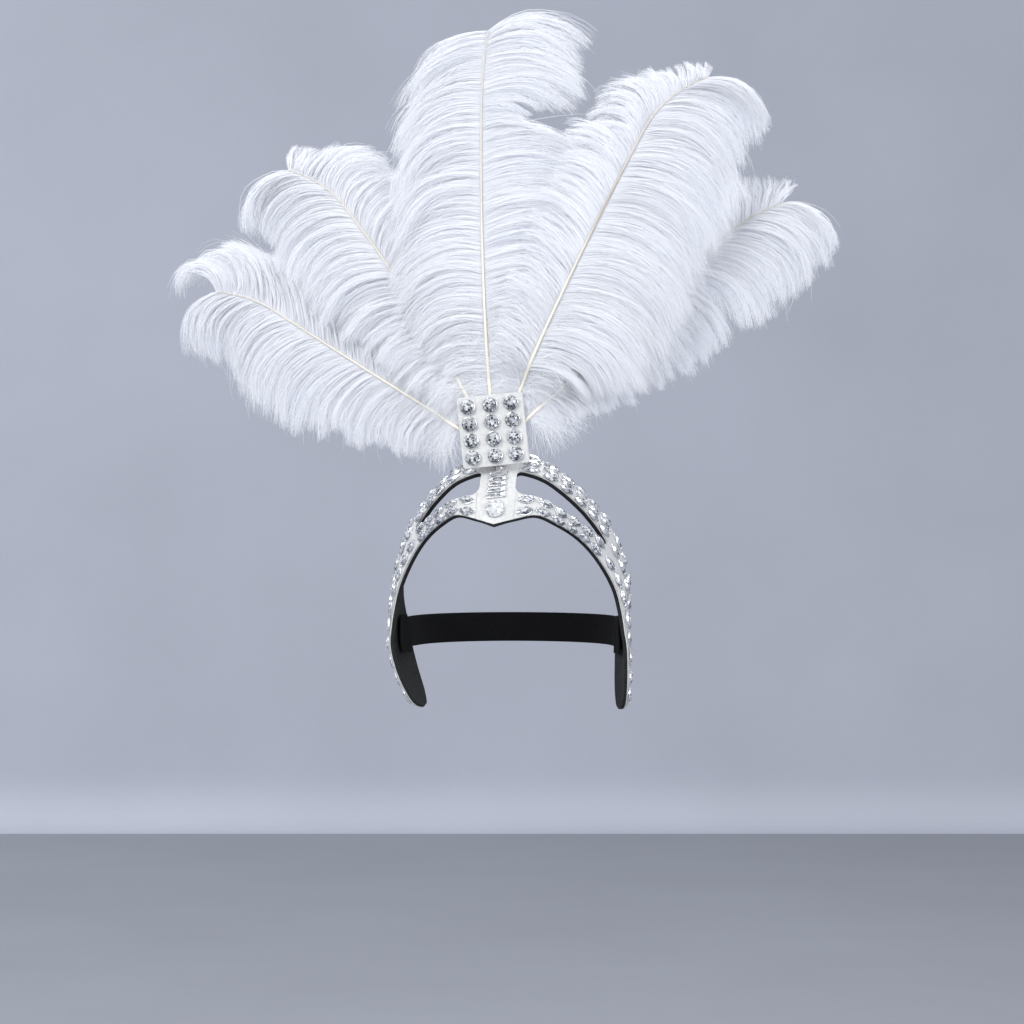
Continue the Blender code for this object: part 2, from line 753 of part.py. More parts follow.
def barb_place(plume, side, along, out):
    """Point of a barb in the fan's plane: it leaves the quill at an angle and turns down."""
    share = min(1.0, max(0.0, vane_share(plume, along)))
    reach = table_value(VANE_SECTIONS, VANE_COLUMNS, "along", share, "reach")
    reach *= plume["left"] if side > 0 else plume["right"]
    angle = math.radians(table_value(VANE_SECTIONS, VANE_COLUMNS, "along", share, "angle"))
    sag = table_value(VANE_SECTIONS, VANE_COLUMNS, "along", share, "sag")
    heading = quill_heading(plume, along) + side * angle
    leave = Vector((-math.sin(heading), 0.0, math.cos(heading)))
    # Barbs that leave upward stand up more than those that leave to the side
    sag *= 1.0 - UPRIGHT_RELIEF * max(0.0, leave.z)
    down = Vector((0.0, 0.0, -1.0))
    path = leave * out + (down - leave) * (sag * out * out / 2.0)
    return quill_place(plume, along) + path * reach


def build_plume(index, parts):
    """Quill and vane in one shell: a strip with locks of barbs cut free of each other along both sides."""
    plume = plume_row(index)
    length = plume["length"]
    vane_start = (plume["exit"] + BARE_QUILL) / length
    quill_start = QUILL_START / length
    bare_steps = 3
    places = [quill_start + (vane_start - quill_start) * step / bare_steps for step in range(bare_steps)]
    places += [vane_start + (1.0 - vane_start) * step / LOCKS for step in range(LOCKS + 1)]
    points = []
    weights = []
    faces = []

    def add(point, weight):
        points.append(point)
        weights.append(weight)
        return len(points) - 1

    strip = []
    for along in places:
        width = QUILL_WIDTH + (QUILL_TIP_WIDTH - QUILL_WIDTH) * along
        angle = quill_heading(plume, along)
        across = Vector((math.cos(angle), 0.0, math.sin(angle)))
        middle = quill_place(plume, along)
        weight = 1.0 - 0.5 * max(0.0, vane_share(plume, along))
        left = add(fan_point(plume, middle - across * width / 2.0), weight)
        right = add(fan_point(plume, middle + across * width / 2.0), weight)
        strip.append((left, right))
    for (left, right), (next_left, next_right) in zip(strip, strip[1:]):
        faces.append((left, right, next_right, next_left))
    pitch = (1.0 - vane_start) / LOCKS
    for lock in range(LOCKS):
        first = bare_steps + lock
        middle = vane_start + (lock + 0.5) * pitch
        for side, corner in ((1, 0), (-1, 1)):
            low, high = strip[first][corner], strip[first + 1][corner]
            for out, half_width, thickness in LOCK_SECTIONS:
                cup = LOCK_CUP * out * out
                low_place = barb_place(plume, side, middle - half_width * pitch, out)
                high_place = barb_place(plume, side, middle + half_width * pitch, out)
                next_low = add(fan_point(plume, low_place, cup), thickness)
                next_high = add(fan_point(plume, high_place, cup), thickness)
                quad = (low, high, next_high, next_low) if side > 0 else (low, next_low, next_high, high)
                faces.append(quad)
                low, high = next_low, next_high
    made = add_object(plume["name"], mesh_from(plume["name"], points, faces), parts, WHITE_FEATHER)
    group = made.vertex_groups.new(name="depth")
    for vertex, weight in enumerate(weights):
        group.add([vertex], weight, "REPLACE")
    wall = solidify(made, PLUME_THICKNESS, 0.0)
    wall.use_even_offset = False
    wall.vertex_group = group.name


def main():
    clear_scene()
    parts = new_collection("feather_headband")
    guides = new_collection("guides")
    build_frame(parts)
    build_stone_field("stones_left", -1, parts, guides)
    build_stone_field("stones_right", 1, parts, guides)
    build_strut_stones(parts)
    build_plaque(parts, guides)
    build_strap(parts)
    build_patch("strap_patch_left", -1, parts)
    build_patch("strap_patch_right", 1, parts)
    for index in range(len(PLUMES)):
        build_plume(index, parts)
    bpy.context.view_layer.update()


main()
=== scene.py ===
"""Looks of the feather headband: every visible piece over the CAD frame, with its stage, light and camera."""
import math

import bpy
import numpy as np
from mathutils import Matrix, Vector


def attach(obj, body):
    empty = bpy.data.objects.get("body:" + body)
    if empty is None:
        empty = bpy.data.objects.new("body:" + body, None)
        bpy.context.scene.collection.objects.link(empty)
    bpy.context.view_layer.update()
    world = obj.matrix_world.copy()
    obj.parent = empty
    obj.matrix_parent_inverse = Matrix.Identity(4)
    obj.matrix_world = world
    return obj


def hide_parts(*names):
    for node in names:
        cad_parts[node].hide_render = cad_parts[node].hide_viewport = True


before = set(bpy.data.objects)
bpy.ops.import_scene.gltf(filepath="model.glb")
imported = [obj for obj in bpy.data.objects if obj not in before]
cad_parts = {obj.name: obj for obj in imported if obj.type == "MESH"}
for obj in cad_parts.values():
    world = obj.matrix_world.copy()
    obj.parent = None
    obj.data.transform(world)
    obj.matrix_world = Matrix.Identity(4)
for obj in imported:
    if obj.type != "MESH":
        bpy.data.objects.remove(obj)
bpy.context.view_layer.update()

# Sizes of the part, in metres
CLEARANCE = 0.0003
FACET_EASE = 0.00025
HALF_WIDTH = 0.092
FRONT_REACH = 0.088
CROWN_HEIGHT = 0.139
ARM_DROP = 0.059
BULGE = 0.0065
FOAM_THICKNESS = 0.0023
FACING_THICKNESS = 0.001
ARCH_SKEW = 0.045
LEFT_ARM_LEAN = 0.017
STRUT_HALF_WIDTH = 0.0125
OPENING_END = {-1: 4.4, 1: 5.1}
PLAQUE_WIDTH = 0.051
PLAQUE_HEIGHT = 0.054
PLAQUE_THICKNESS = 0.0015
PLAQUE_X = -0.0037
PLAQUE_Z = 0.157
PLAQUE_FRONT_Y = -0.067
PLAQUE_ROLL = math.radians(6.0)
PLAQUE_STONE_DIAMETER = 0.0118
PLAQUE_STONE_HEIGHT = 0.0042
PLAQUE_STONE_COLUMNS = (-0.0172, 0.0, 0.0160)
PLAQUE_STONE_ROW_PITCH = 0.0129
PLAQUE_STONE_ROWS = 4
CENTRE_STONE_DIAMETER = 0.0145
CENTRE_STONE_HEIGHT = 0.0042
TOP_STONE_DIAMETER = 0.0060
TOP_STONE_HEIGHT = 0.0028
STRUT_STONE_LENGTH = 0.0135
STRUT_STONE_WIDTH = 0.0042
STRUT_STONE_HEIGHT = 0.0026
STRUT_STONE_COUNT = 5
STRUT_TOP_SHARE = 0.036
MARQUISE_LENGTH = 0.0128
MARQUISE_WIDTH = 0.0054
MARQUISE_HEIGHT = 0.0022
MARQUISE_PITCH = 0.0140
SETTING_INSET = 0.0012
STRAP_WIDTH = 0.0233
STRAP_THICKNESS = 0.0012
STRAP_REACH = 0.097
PATCH_THICKNESS = 0.0012
PATCH_OVERHANG = 0.002
FAN_X = -0.0023
FAN_Z = 0.142
QUILL_START = 0.012
QUILL_WIDTH = 0.0026
QUILL_TIP_WIDTH = 0.0009
PLUME_THICKNESS = 0.0030
FAN_RADIUS = 0.340
FAN_LEAN_BACK = 0.018
FAN_CURL = 0.040
LAYER_RAMP = 0.022
LAYER_SPREAD = 2.0
BARE_QUILL = 0.014
LOCK_CUP = 0.012
QUILL_PLANE = PLAQUE_FRONT_Y + PLAQUE_THICKNESS + CLEARANCE + PLUME_THICKNESS / 2.0

FRAME_COLUMNS = ("front_x", "front_y", "front_z", "rear_x", "rear_y", "rear_z", "bulge")
FRAME_SECTIONS = (
    (0.000, -1.000, 0.612, 0.000, -0.410, 1.000, 1.00),
    (0.163, -0.930, 0.640, 0.174, -0.405, 0.986, 1.00),
    (0.333, -0.835, 0.658, 0.353, -0.375, 0.935, 0.92),
    (0.484, -0.693, 0.609, 0.516, -0.295, 0.849, 0.85),
    (0.636, -0.500, 0.532, 0.663, -0.170, 0.745, 0.77),
    (0.766, -0.352, 0.428, 0.821, -0.011, 0.604, 0.69),
    (0.880, -0.239, 0.295, 0.935, 0.125, 0.403, 0.54),
    (0.940, -0.193, 0.180, 0.962, 0.159, 0.216, 0.46),
    (0.989, -0.182, 0.000, 0.913, 0.170, 0.000, 0.46),
    (1.011, -0.170, -0.237, 0.897, 0.182, -0.271, 0.38),
    (1.011, -0.136, -0.610, 0.897, 0.159, -0.712, 0.31),
    (0.995, -0.080, -0.880, 0.915, 0.102, -0.940, 0.15),
    (0.975, -0.034, -0.970, 0.940, 0.045, -1.000, 0.05),
)
LAST_STATION = len(FRAME_SECTIONS) - 1
OPENING_COLUMNS = ("along", "low", "high")
OPENING_SECTIONS = (
    (0.00, 0.33, 0.66),
    (0.27, 0.27, 0.60),
    (0.51, 0.25, 0.57),
    (0.74, 0.27, 0.52),
    (1.00, 0.37, 0.42),
)
BAND_ROWS = (0.27, 0.76)
ARCH_ROWS = (0.18, 0.50, 0.82)
ARM_ROWS = (0.17, 0.50, 0.83)
PLUME_COLUMNS = ("name", "heading", "turn", "droop", "length", "layer", "exit")
PLUMES = (
    ("plume_far_left", 61.0, -3.0, 34.0, 0.262, 0.016, 0.036),
    ("plume_left", 29.0, 12.0, 50.0, 0.277, 0.008, 0.055),
    ("plume_centre", 8.0, -13.0, -44.0, 0.308, -0.001, 0.044),
    ("plume_right", -22.0, -9.0, -52.0, 0.325, -0.009, 0.051),
    ("plume_far_right", -44.0, -4.0, -40.0, 0.308, 0.008, 0.040),
)
# How the plumes hang in the photo: changes of heading and turn, shares of droop and length
PLUME_LOOKS = (
    (-1.0, 0.0, 0.75, 0.985),
    (-2.0, 2.0, 0.60, 0.995),
    (-2.0, 4.0, 0.15, 1.030),
    (0.0, 0.0, 0.75, 1.010),
    (-2.0, 2.0, 0.50, 0.930),
)
# Barbs of each vane (side 1 is the left one): the directions in which they leave the quill and end,
# in degrees from upright towards the left, and their length in millimetres
VANE_COLUMNS = ("along", "leave", "end", "reach")
VANES = {
    ("plume_far_left", 1): (
        (0.00, 122, 172, 38), (0.26, 112, 178, 62), (0.44, 105, 185, 79), (0.67, 96, 198, 80),
        (0.80, 98, 200, 67), (0.91, 104, 205, 66), (1.00, 104, 210, 60)),
    ("plume_far_left", -1): (
        (0.00, 10, 40, 40), (0.26, 5, 30, 55), (0.44, 2, 30, 64), (0.67, 4, 56, 70),
        (0.80, -10, 88, 75), (0.91, -30, 158, 66), (1.00, 14, 175, 56)),
    ("plume_left", 1): (
        (0.00, 100, 150, 38), (0.19, 88, 150, 54), (0.40, 84, 155, 72), (0.61, 78, 172, 82),
        (0.83, 76, 176, 72), (0.93, 82, 188, 72), (1.00, 98, 196, 58)),
    ("plume_left", -1): (
        (0.00, -20, -60, 36), (0.19, -14, -50, 48), (0.40, -14, -60, 54), (0.61, 0, -98, 57),
        (0.83, -8, -126, 59), (0.93, -24, -58, 34), (1.00, 20, -35, 18)),
    ("plume_centre", 1): (
        (0.00, 80, 130, 40), (0.25, 74, 150, 76), (0.41, 74, 165, 92), (0.70, 82, 178, 94),
        (0.92, 86, 166, 84), (1.00, 92, 148, 66)),
    ("plume_centre", -1): (
        (0.00, -70, -115, 40), (0.25, -66, -110, 74), (0.41, -64, -112, 86), (0.70, -66, -142, 94),
        (0.92, -68, -140, 84), (1.00, -52, -138, 79)),
    ("plume_right", 1): (
        (0.00, 25, 80, 36), (0.24, 28, 78, 50), (0.44, 26, 78, 54), (0.63, 20, 100, 58),
        (0.73, 12, 124, 60), (0.84, 6, 90, 40), (0.92, 8, 50, 22), (1.00, -30, 20, 12)),
    ("plume_right", -1): (
        (0.00, -85, -150, 50), (0.12, -85, -165, 90), (0.24, -84, -172, 104), (0.44, -84, -168, 102),
        (0.63, -84, -172, 98), (0.73, -78, -178, 99), (0.90, -76, -178, 83), (1.00, -82, -168, 66)),
    ("plume_far_right", 1): (
        (0.00, 20, 60, 30), (0.50, 0, 40, 38), (0.78, -2, 30, 36), (0.92, -8, 14, 30),
        (1.00, -34, -30, 20)),
    ("plume_far_right", -1): (
        (0.00, -112, -150, 26), (0.17, -104, -158, 48), (0.35, -96, -165, 62), (0.50, -92, -172, 66),
        (0.65, -86, -172, 75), (0.78, -82, -174, 78), (0.92, -86, -178, 68), (1.00, -86, -184, 62)),
}
# Places where a vane is parted and its barbs stay short: plume, side, place along it, width and depth
PARTS = (
    ("plume_centre", -1, 0.765, 0.044, 0.66),
    ("plume_far_right", -1, 0.560, 0.022, 0.45),
    ("plume_right", 1, 0.720, 0.030, 0.25),
)

# Share of a plume's length from which it droops
DROOP_START = 0.78
# Seeds of the stones and of the first plume
STONE_SEED = 81
PLUME_SEED = 3689

# Barbs of a plume
BARBS = 8200
BARB_POINTS = 9
BARB_HALF_WIDTH = 0.00022
BEND_POWER = 1.15
BARB_LIFT = 0.0006
BARB_TINT = 0.66
CLUMP_PITCH = 0.0022
WAVE_PITCH = 0.013
# How far waves, clumps and single barbs differ: degrees, shares, metres of depth, radians and tint
WAVE_SIZES = {"angle": 1.5, "sag": 0.04, "reach": 0.05, "depth": 0.0022}
CLUMP_SIZES = {"angle": 1.2, "sag": 0.04, "reach": 0.05, "depth": 0.0020, "phase": 2.0, "tint": 0.05}
BARB_SIZES = {"angle": 1.8, "sag": 0.06, "reach": 0.10, "depth": 0.0026, "tint": 0.10}
# Few barbs stray from their clump; the others are pulled to its middle from a share of their length on
STRAY_SHARE = 0.008
STRAY_REACH = (1.02, 1.12)
STRAY_ANGLE = 9.0
CLUMP_PULL = 0.66
PULL_START = 0.15
PULL_SPAN = 0.70
# Sway to each side in metres, and waves in a barb's length
CLUMP_SWAY = 0.0011
CLUMP_SWAY_WAVES = 1.3
BARB_SWAY = 0.0009
BARB_SWAY_WAVES = (1.0, 2.6)

# Down about the foot of a vane: share of the plume that it covers, reach in metres and spread in degrees
DOWN_BARBS = 2200
DOWN_POINTS = 7
DOWN_HALF_WIDTH = 0.00016
DOWN_START = 0.005
DOWN_SPAN = 0.24
DOWN_REACH = (0.016, 0.040)
DOWN_SPREAD = 24.0
DOWN_SWAY = 0.0018
DOWN_SWAY_WAVES = (0.8, 1.8)
DOWN_TINT = 0.72

# Loose hairs along the barbs
HAIRS = 14000
HAIR_LENGTH = (0.0012, 0.0030)
HAIR_FOOT = 0.00010

# Shaft of a plume
QUILL_POINTS = 80
QUILL_SIDES = 10
QUILL_AHEAD = 0.0008
BROWN_PLACE = 0.52
BROWN_WIDTH = 0.16
BROWN_DEPTH = {"plume_right": 0.55}
BROWN_DEPTH_ELSEWHERE = 0.12

# Sheets of the frame: foam that shows below the facing along the lower edges, backing of the stones,
# and rounded corners of the openings next to the strut
FOAM_REVEAL = 0.0011
BACKING_THICKNESS = 0.0003
FOAM_EDGE = 0.00035
FACING_EDGE = 0.0003
BACKING_EDGE = 0.0001
PATCH_EDGE = 0.0003
FILLET_LOW = 0.007
FILLET_HIGH = 0.0045
LOW_ROWS, MIDDLE_ROWS, HIGH_ROWS = 8, 6, 8
STRUT_STEPS, CORNER_STEPS, OPENING_STEPS, ARM_STEPS = 6, 8, 34, 56
CORNER_SPAN = 0.5
NEAR_STATION = 0.02

# Stones: what their cups take off the outlines, and what drawn marquises have more than the plain ones
CENTRE_CUP_ROOM = 0.0008
STRUT_CUP_ROOM = 0.0005
TOP_CUP_ROOM = 0.0006
PLAQUE_CUP_ROOM = 0.001
MARQUISE_MORE = 0.0010
MARQUISE_CUT_MORE = 0.0004
MARQUISE_CUP_MORE = 0.0002
ROW_START = 0.12
ARM_ROW_START = 0.15
# Rings of a cut stone from its foot up: shares of its outline and height, points, and their shift
STONE_RINGS = (
    (0.88, 0.0, 16, 0.0), (1.0, 0.3, 16, 0.0), (0.8, 0.74, 8, 0.5), (0.54, 1.0, 8, 0.0), (0.2, 1.0, 8, 0.5))
# Darkest and palest tint of each kind of facet, painted as reflections, and the painted shade of facets that
# look down
FACET_PAINTED_REFLECTIONS = {
    "foot": (0.4, 0.4), "side": (0.35, 0.8), "rim": (0.10, 0.95), "kite": (0.45, 1.0),
    "star": (0.0, 0.75), "fan": (0.05, 1.0), "spoke": (0.25, 1.0), "heart": (0.7, 1.0)}
FACET_POWER = 0.8
DOWNWARD_SHADE = 0.35
DOWNWARD_FROM = 0.15
# Cup round a stone: share of its height and margin to the outline; a claw also has half its width as
# an angle and the rise of its outside
CUP_POINTS = 16
CUP_PROFILE = ((0.0, 0.0002), (0.22, 0.00045), (0.40, 0.00035), (0.44, 0.00005), (0.34, -0.0002))
CLAW_PROFILE = ((0.0, 0.0006, 0.09, 0.0), (0.50, 0.0006, 0.09, 0.0), (0.80, -0.0006, 0.05, 0.00015))
CLAW_DEPTH = 0.0003
OVAL_CLAWS = tuple(math.radians(angle) for angle in (40.0, 140.0, 220.0, 320.0))
ROUND_CLAWS = tuple(math.radians(angle) for angle in (45.0, 135.0, 225.0, 315.0))
PLAQUE_CORNER = 0.0022
PLAQUE_EDGE = 0.00035
CORNER_ARC_STEPS = 6

# Elastic: ribs along the strap, their depth as a share, and the points along its round
STRAP_RIBS = 12.0
STRAP_RIB_DEPTH = 0.16
STRAP_FLATTENING = 0.86
STRAP_ROUND_POINTS = 62
STRAP_SMOOTHINGS = 6


# Materials

def shader_of(material):
    return material.node_tree.nodes["Principled BSDF"]


def new_material(name, roughness, metallic=0.0, **sockets):
    made = bpy.data.materials.new(name)
    made.use_nodes = True
    shader = shader_of(made)
    shader.inputs["Roughness"].default_value = roughness
    shader.inputs["Metallic"].default_value = metallic
    for socket, value in sockets.items():
        shader.inputs[socket.replace("_", " ")].default_value = value
    return made


def add_node(material, kind, **settings):
    node = material.node_tree.nodes.new(kind)
    for socket, value in settings.items():
        node.inputs[socket].default_value = value
    return node


def link(material, source, target):
    material.node_tree.links.new(source, target)


def noise_of(material, scale, detail=3.0, stretch=(1.0, 1.0, 1.0)):
    place = add_node(material, "ShaderNodeTexCoord")
    mapping = add_node(material, "ShaderNodeMapping", Scale=stretch)
    noise = add_node(material, "ShaderNodeTexNoise", Scale=scale, Detail=detail)
    link(material, place.outputs["Object"], mapping.inputs["Vector"])
    link(material, mapping.outputs["Vector"], noise.inputs["Vector"])
    return noise.outputs[0]


def cells_of(material, scale):
    place = add_node(material, "ShaderNodeTexCoord")
    cells = add_node(material, "ShaderNodeTexVoronoi", Scale=scale)
    link(material, place.outputs["Object"], cells.inputs["Vector"])
    return cells.outputs["Distance"]


def attribute_of(material, name):
    source = add_node(material, "ShaderNodeAttribute")
    source.attribute_name = name
    return source.outputs["Fac"]


def ramp_of(material, source, stops):
    ramp = add_node(material, "ShaderNodeValToRGB")
    line = ramp.color_ramp
    while len(line.elements) < len(stops):
        line.elements.new(0.5)
    for element, (place, colour) in zip(line.elements, stops):
        element.position = place
        element.color = (*colour, 1.0)
    link(material, source, ramp.inputs["Fac"])
    return ramp.outputs["Color"]


def colour_by(material, source, stops):
    link(material, ramp_of(material, source, stops), shader_of(material).inputs["Base Color"])


def bump_by(material, source, strength, distance):
    bump = add_node(material, "ShaderNodeBump", Strength=strength, Distance=distance)
    link(material, source, bump.inputs["Height"])
    link(material, bump.outputs["Normal"], shader_of(material).inputs["Normal"])


def make_materials():
    facing = new_material("facing_satin", 0.42, Sheen_Weight=0.25, Coat_Weight=0.15)
    colour_by(facing, noise_of(facing, 420.0, 4.0), (
        (0.30, (0.56, 0.56, 0.555)), (0.52, (0.64, 0.64, 0.635)), (0.75, (0.71, 0.71, 0.705))))
    bump_by(facing, noise_of(facing, 1500.0, 2.0), 0.35, 0.0004)

    foam = new_material("foam_black", 0.82, Specular_IOR_Level=0.3)
    colour_by(foam, noise_of(foam, 500.0), ((0.3, (0.006, 0.006, 0.007)), (0.7, (0.018, 0.018, 0.020))))
    bump_by(foam, cells_of(foam, 1100.0), 0.5, 0.0005)

    elastic = new_material("elastic_black", 0.92, Specular_IOR_Level=0.08)
    colour_by(elastic, noise_of(elastic, 900.0, 2.0, (1.0, 1.0, 6.0)), (
        (0.35, (0.003, 0.003, 0.003)), (0.7, (0.013, 0.013, 0.014))))
    bump_by(elastic, noise_of(elastic, 1400.0, 1.0, (3.0, 3.0, 0.6)), 0.6, 0.0004)

    stone = new_material("stone_clear", 0.06, 0.55, Coat_Weight=1.0, Coat_Roughness=0.02)
    # The stone's colour is painted reflection: each facet's tint picks a grey from near black to white
    colour_by(stone, attribute_of(stone, "tint"), (
        (0.0, (0.012, 0.013, 0.016)), (0.33, (0.13, 0.14, 0.16)),
        (0.62, (0.62, 0.64, 0.67)), (0.85, (0.97, 0.98, 1.0)), (1.0, (1.0, 1.0, 1.0))))
    bump_by(stone, noise_of(stone, 260.0, 1.0), 0.04, 0.0003)

    setting = new_material("setting_silver", 0.22, 1.0)
    colour_by(setting, noise_of(setting, 700.0), ((0.3, (0.62, 0.63, 0.66)), (0.7, (0.90, 0.91, 0.93))))
    bump_by(setting, noise_of(setting, 1800.0, 1.0), 0.15, 0.0002)

    feather = new_material("feather_white", 0.62, Sheen_Weight=0.3)
    colour = ramp_of(feather, attribute_of(feather, "tint"), (
        (0.0, (0.74, 0.76, 0.82)), (0.5, (0.92, 0.93, 0.965)), (1.0, (0.985, 0.99, 1.0))))
    link(feather, colour, shader_of(feather).inputs["Base Color"])
    bump_by(feather, noise_of(feather, 900.0, 2.0), 0.2, 0.0002)
    through = add_node(feather, "ShaderNodeBsdfTranslucent")
    link(feather, colour, through.inputs["Color"])
    both = add_node(feather, "ShaderNodeMixShader", Fac=0.44)
    link(feather, shader_of(feather).outputs[0], both.inputs[1])
    link(feather, through.outputs[0], both.inputs[2])
    link(feather, both.outputs[0], feather.node_tree.nodes["Material Output"].inputs["Surface"])

    quill = new_material("quill_ivory", 0.34, Coat_Weight=0.2)
    colour_by(quill, attribute_of(quill, "tint"), (
        (0.0, (0.42, 0.33, 0.26)), (0.5, (0.72, 0.66, 0.55)), (1.0, (0.86, 0.82, 0.71))))
    bump_by(quill, noise_of(quill, 900.0, 2.0, (1.0, 1.0, 0.3)), 0.3, 0.0003)

    return {
        "facing": facing, "foam": foam, "elastic": elastic, "stone": stone, "setting": setting,
        "feather": feather, "quill": quill}


# Frame surface, as the part has it

def smooth_step(share):
    share = np.clip(share, 0.0, 1.0)
    return share * share * (3.0 - 2.0 * share)


def frame_value(station, column):
    at = FRAME_COLUMNS.index(column)
    values = [row[at] for row in FRAME_SECTIONS]
    if column in ("front_x", "rear_x"):
        before = -values[1]
    elif column == "front_z":
        before = 2.0 * values[0] - values[1]
    else:
        before = values[1]
    values = [before] + values + [2.0 * values[-1] - values[-2]]
    index = min(int(station), LAST_STATION - 1)
    share = station - index
    p0, p1, p2, p3 = values[index:index + 4]
    return 0.5 * (
        2.0 * p1
        + (p2 - p0) * share
        + (2.0 * p0 - 5.0 * p1 + 4.0 * p2 - p3) * share ** 2
        + (3.0 * p1 - p0 - 3.0 * p2 + p3) * share ** 3
    )


def edge_point(station, edge):
    height = frame_value(station, edge + "_z")
    return Vector((
        frame_value(station, edge + "_x") * HALF_WIDTH,
        frame_value(station, edge + "_y") * FRONT_REACH,
        height * (CROWN_HEIGHT if height > 0.0 else ARM_DROP),
    ))


def bare_point(side, station, across):
    front = edge_point(station, "front")
    rear = edge_point(station, "rear")
    chord = (rear - front).normalized()
    outward = (front + rear) * 0.5
    outward -= chord * outward.dot(chord)
    outward.normalize()
    bulge = frame_value(station, "bulge") * BULGE * 4.0 * across * (1.0 - across)
    point = front.lerp(rear, across) + outward * bulge
    point.x *= side
    if point.z > 0.0:
        point.z += ARCH_SKEW * across * point.x * point.z / CROWN_HEIGHT
    elif side < 0:
        point.x += LEFT_ARM_LEAN * (-point.z / ARM_DROP) ** 1.6
    return point


def frame_normal(side, station, across):
    step = NEAR_STATION
    along = bare_point(side, min(LAST_STATION, station + step), across)
    along -= bare_point(side, max(0.0, station - step), across)
    over = bare_point(side, station, min(1.0, across + step))
    over -= bare_point(side, station, max(0.0, across - step))
    normal = along.cross(over) * side
    if station == 0.0:
        normal.x = 0.0
    return normal.normalized()


def frame_point(side, station, across, lift=0.0):
    return bare_point(side, station, across) + frame_normal(side, station, across) * lift


def strut_station():
    low, high = 0.0, 2.0
    for _ in range(30):
        middle = (low + high) / 2.0
        if frame_value(middle, "front_x") * HALF_WIDTH < STRUT_HALF_WIDTH:
            low = middle
        else:
            high = middle
    return high


STRUT_STATION = strut_station()


def opening_edge(side, station, column):
    along = (station - STRUT_STATION) / (OPENING_END[side] - STRUT_STATION)
    wanted = OPENING_COLUMNS.index(column)
    places = [row[0] for row in OPENING_SECTIONS]
    return float(np.interp(along, places, [row[wanted] for row in OPENING_SECTIONS]))


def surface_matrix(side, station, across, lift):
    origin = frame_point(side, station, across, lift)
    out = frame_normal(side, station, across)
    along = frame_point(side, station + NEAR_STATION, across) - frame_point(side, station, across)
    along = (along - out * along.dot(out)).normalized() * side
    over = out.cross(along)
    return Matrix.Translation(origin) @ Matrix((along, over, out)).transposed().to_4x4()


def plaque_matrix(x, depth, z):
    place = Matrix.Translation((PLAQUE_X, depth, PLAQUE_Z)) @ Matrix.Rotation(-PLAQUE_ROLL, 4, "Y")
    return place @ Matrix.Rotation(math.radians(90.0), 4, "X") @ Matrix.Translation((x, z, 0.0))


# Meshes

def unit(vectors):
    return vectors / (np.linalg.norm(vectors, axis=-1, keepdims=True) + 1e-12)


def grid_of(points):
    """Numbers of the points of a grid, in its rows and columns."""
    rows, columns = points.shape[:2]
    return np.arange(rows * columns).reshape(rows, columns)


def quads_of(*corners):
    """Four-cornered faces from one array of numbers for each corner."""
    return np.stack(corners, axis=-1).reshape(-1, 4)


def tube_faces(base, around, rings):
    """Faces between rings of points that follow one another."""
    faces = []
    for low in range(base, base + (rings - 1) * around, around):
        for index in range(around):
            following = (index + 1) % around
            faces.append((low + index, low + following, low + around + following, low + around + index))
    return faces


def array_object(name, points, faces, material, tint=None):
    """Mesh from an array of points, arrays of equally sized faces and a tint for each point."""
    mesh = bpy.data.meshes.new(name)
    mesh.vertices.add(len(points))
    mesh.vertices.foreach_set("co", np.asarray(points, dtype=np.float32).ravel())
    mesh.loops.add(sum(part.size for part in faces))
    corners = np.concatenate([part.ravel() for part in faces]).astype(np.int32)
    mesh.loops.foreach_set("vertex_index", corners)
    starts, base = [], 0
    for part in faces:
        starts.append(base + np.arange(len(part)) * part.shape[1])
        base += part.size
    mesh.polygons.add(sum(len(part) for part in faces))
    mesh.polygons.foreach_set("loop_start", np.concatenate(starts).astype(np.int32))
    mesh.update(calc_edges=True)
    return finish_object(name, mesh, material, tint, "POINT", True)


def list_object(name, points, faces, material, tint=None, smooth=True):
    """Mesh from lists of points and faces and a tint for each face."""
    mesh = bpy.data.meshes.new(name)
    mesh.from_pydata([tuple(point) for point in points], [], faces)
    mesh.update()
    return finish_object(name, mesh, material, tint, "FACE", smooth)


def finish_object(name, mesh, material, tint, domain, smooth):
    if tint is not None:
        values = mesh.attributes.new("tint", "FLOAT", domain)
        values.data.foreach_set("value", np.asarray(tint, dtype=np.float32))
    mesh.polygons.foreach_set("use_smooth", np.full(len(mesh.polygons), smooth))
    mesh.materials.append(material)
    made = bpy.data.objects.new(name, mesh)
    bpy.context.scene.collection.objects.link(made)
    return made


def declare(made, slot, *nodes):
    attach(made, "root")
    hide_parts(*nodes)
    return made


def add_wall(made, thickness, offset, edge):
    wall = made.modifiers.new("wall", "SOLIDIFY")
    wall.thickness = thickness
    wall.offset = offset
    wall.use_even_offset = True
    wall.use_quality_normals = True
    soften = made.modifiers.new("edge", "BEVEL")
    soften.width = edge
    soften.segments = 2
    soften.limit_method = "ANGLE"
    soften.angle_limit = math.radians(50.0)
    soften.harden_normals = True


# Foam and facing

def fine_stations(side):
    """Stations from the middle to the end of an arm, close together next to the strut."""
    end = OPENING_END[side]
    begin = STRUT_STATION + CORNER_SPAN
    stations = [STRUT_STATION * step / STRUT_STEPS for step in range(STRUT_STEPS)]
    for step in range(CORNER_STEPS):
        turn = math.pi * step / (2 * CORNER_STEPS)
        stations.append(STRUT_STATION + CORNER_SPAN * (1.0 - math.cos(turn)))
    stations += [begin + (end - begin) * step / OPENING_STEPS for step in range(OPENING_STEPS)]
    stations += [end + (LAST_STATION - end) * step / ARM_STEPS for step in range(ARM_STEPS + 1)]
    return stations


def fillet(away, radius):
    if away >= radius:
        return 0.0
    return radius - math.sqrt(radius ** 2 - (radius - away) ** 2)


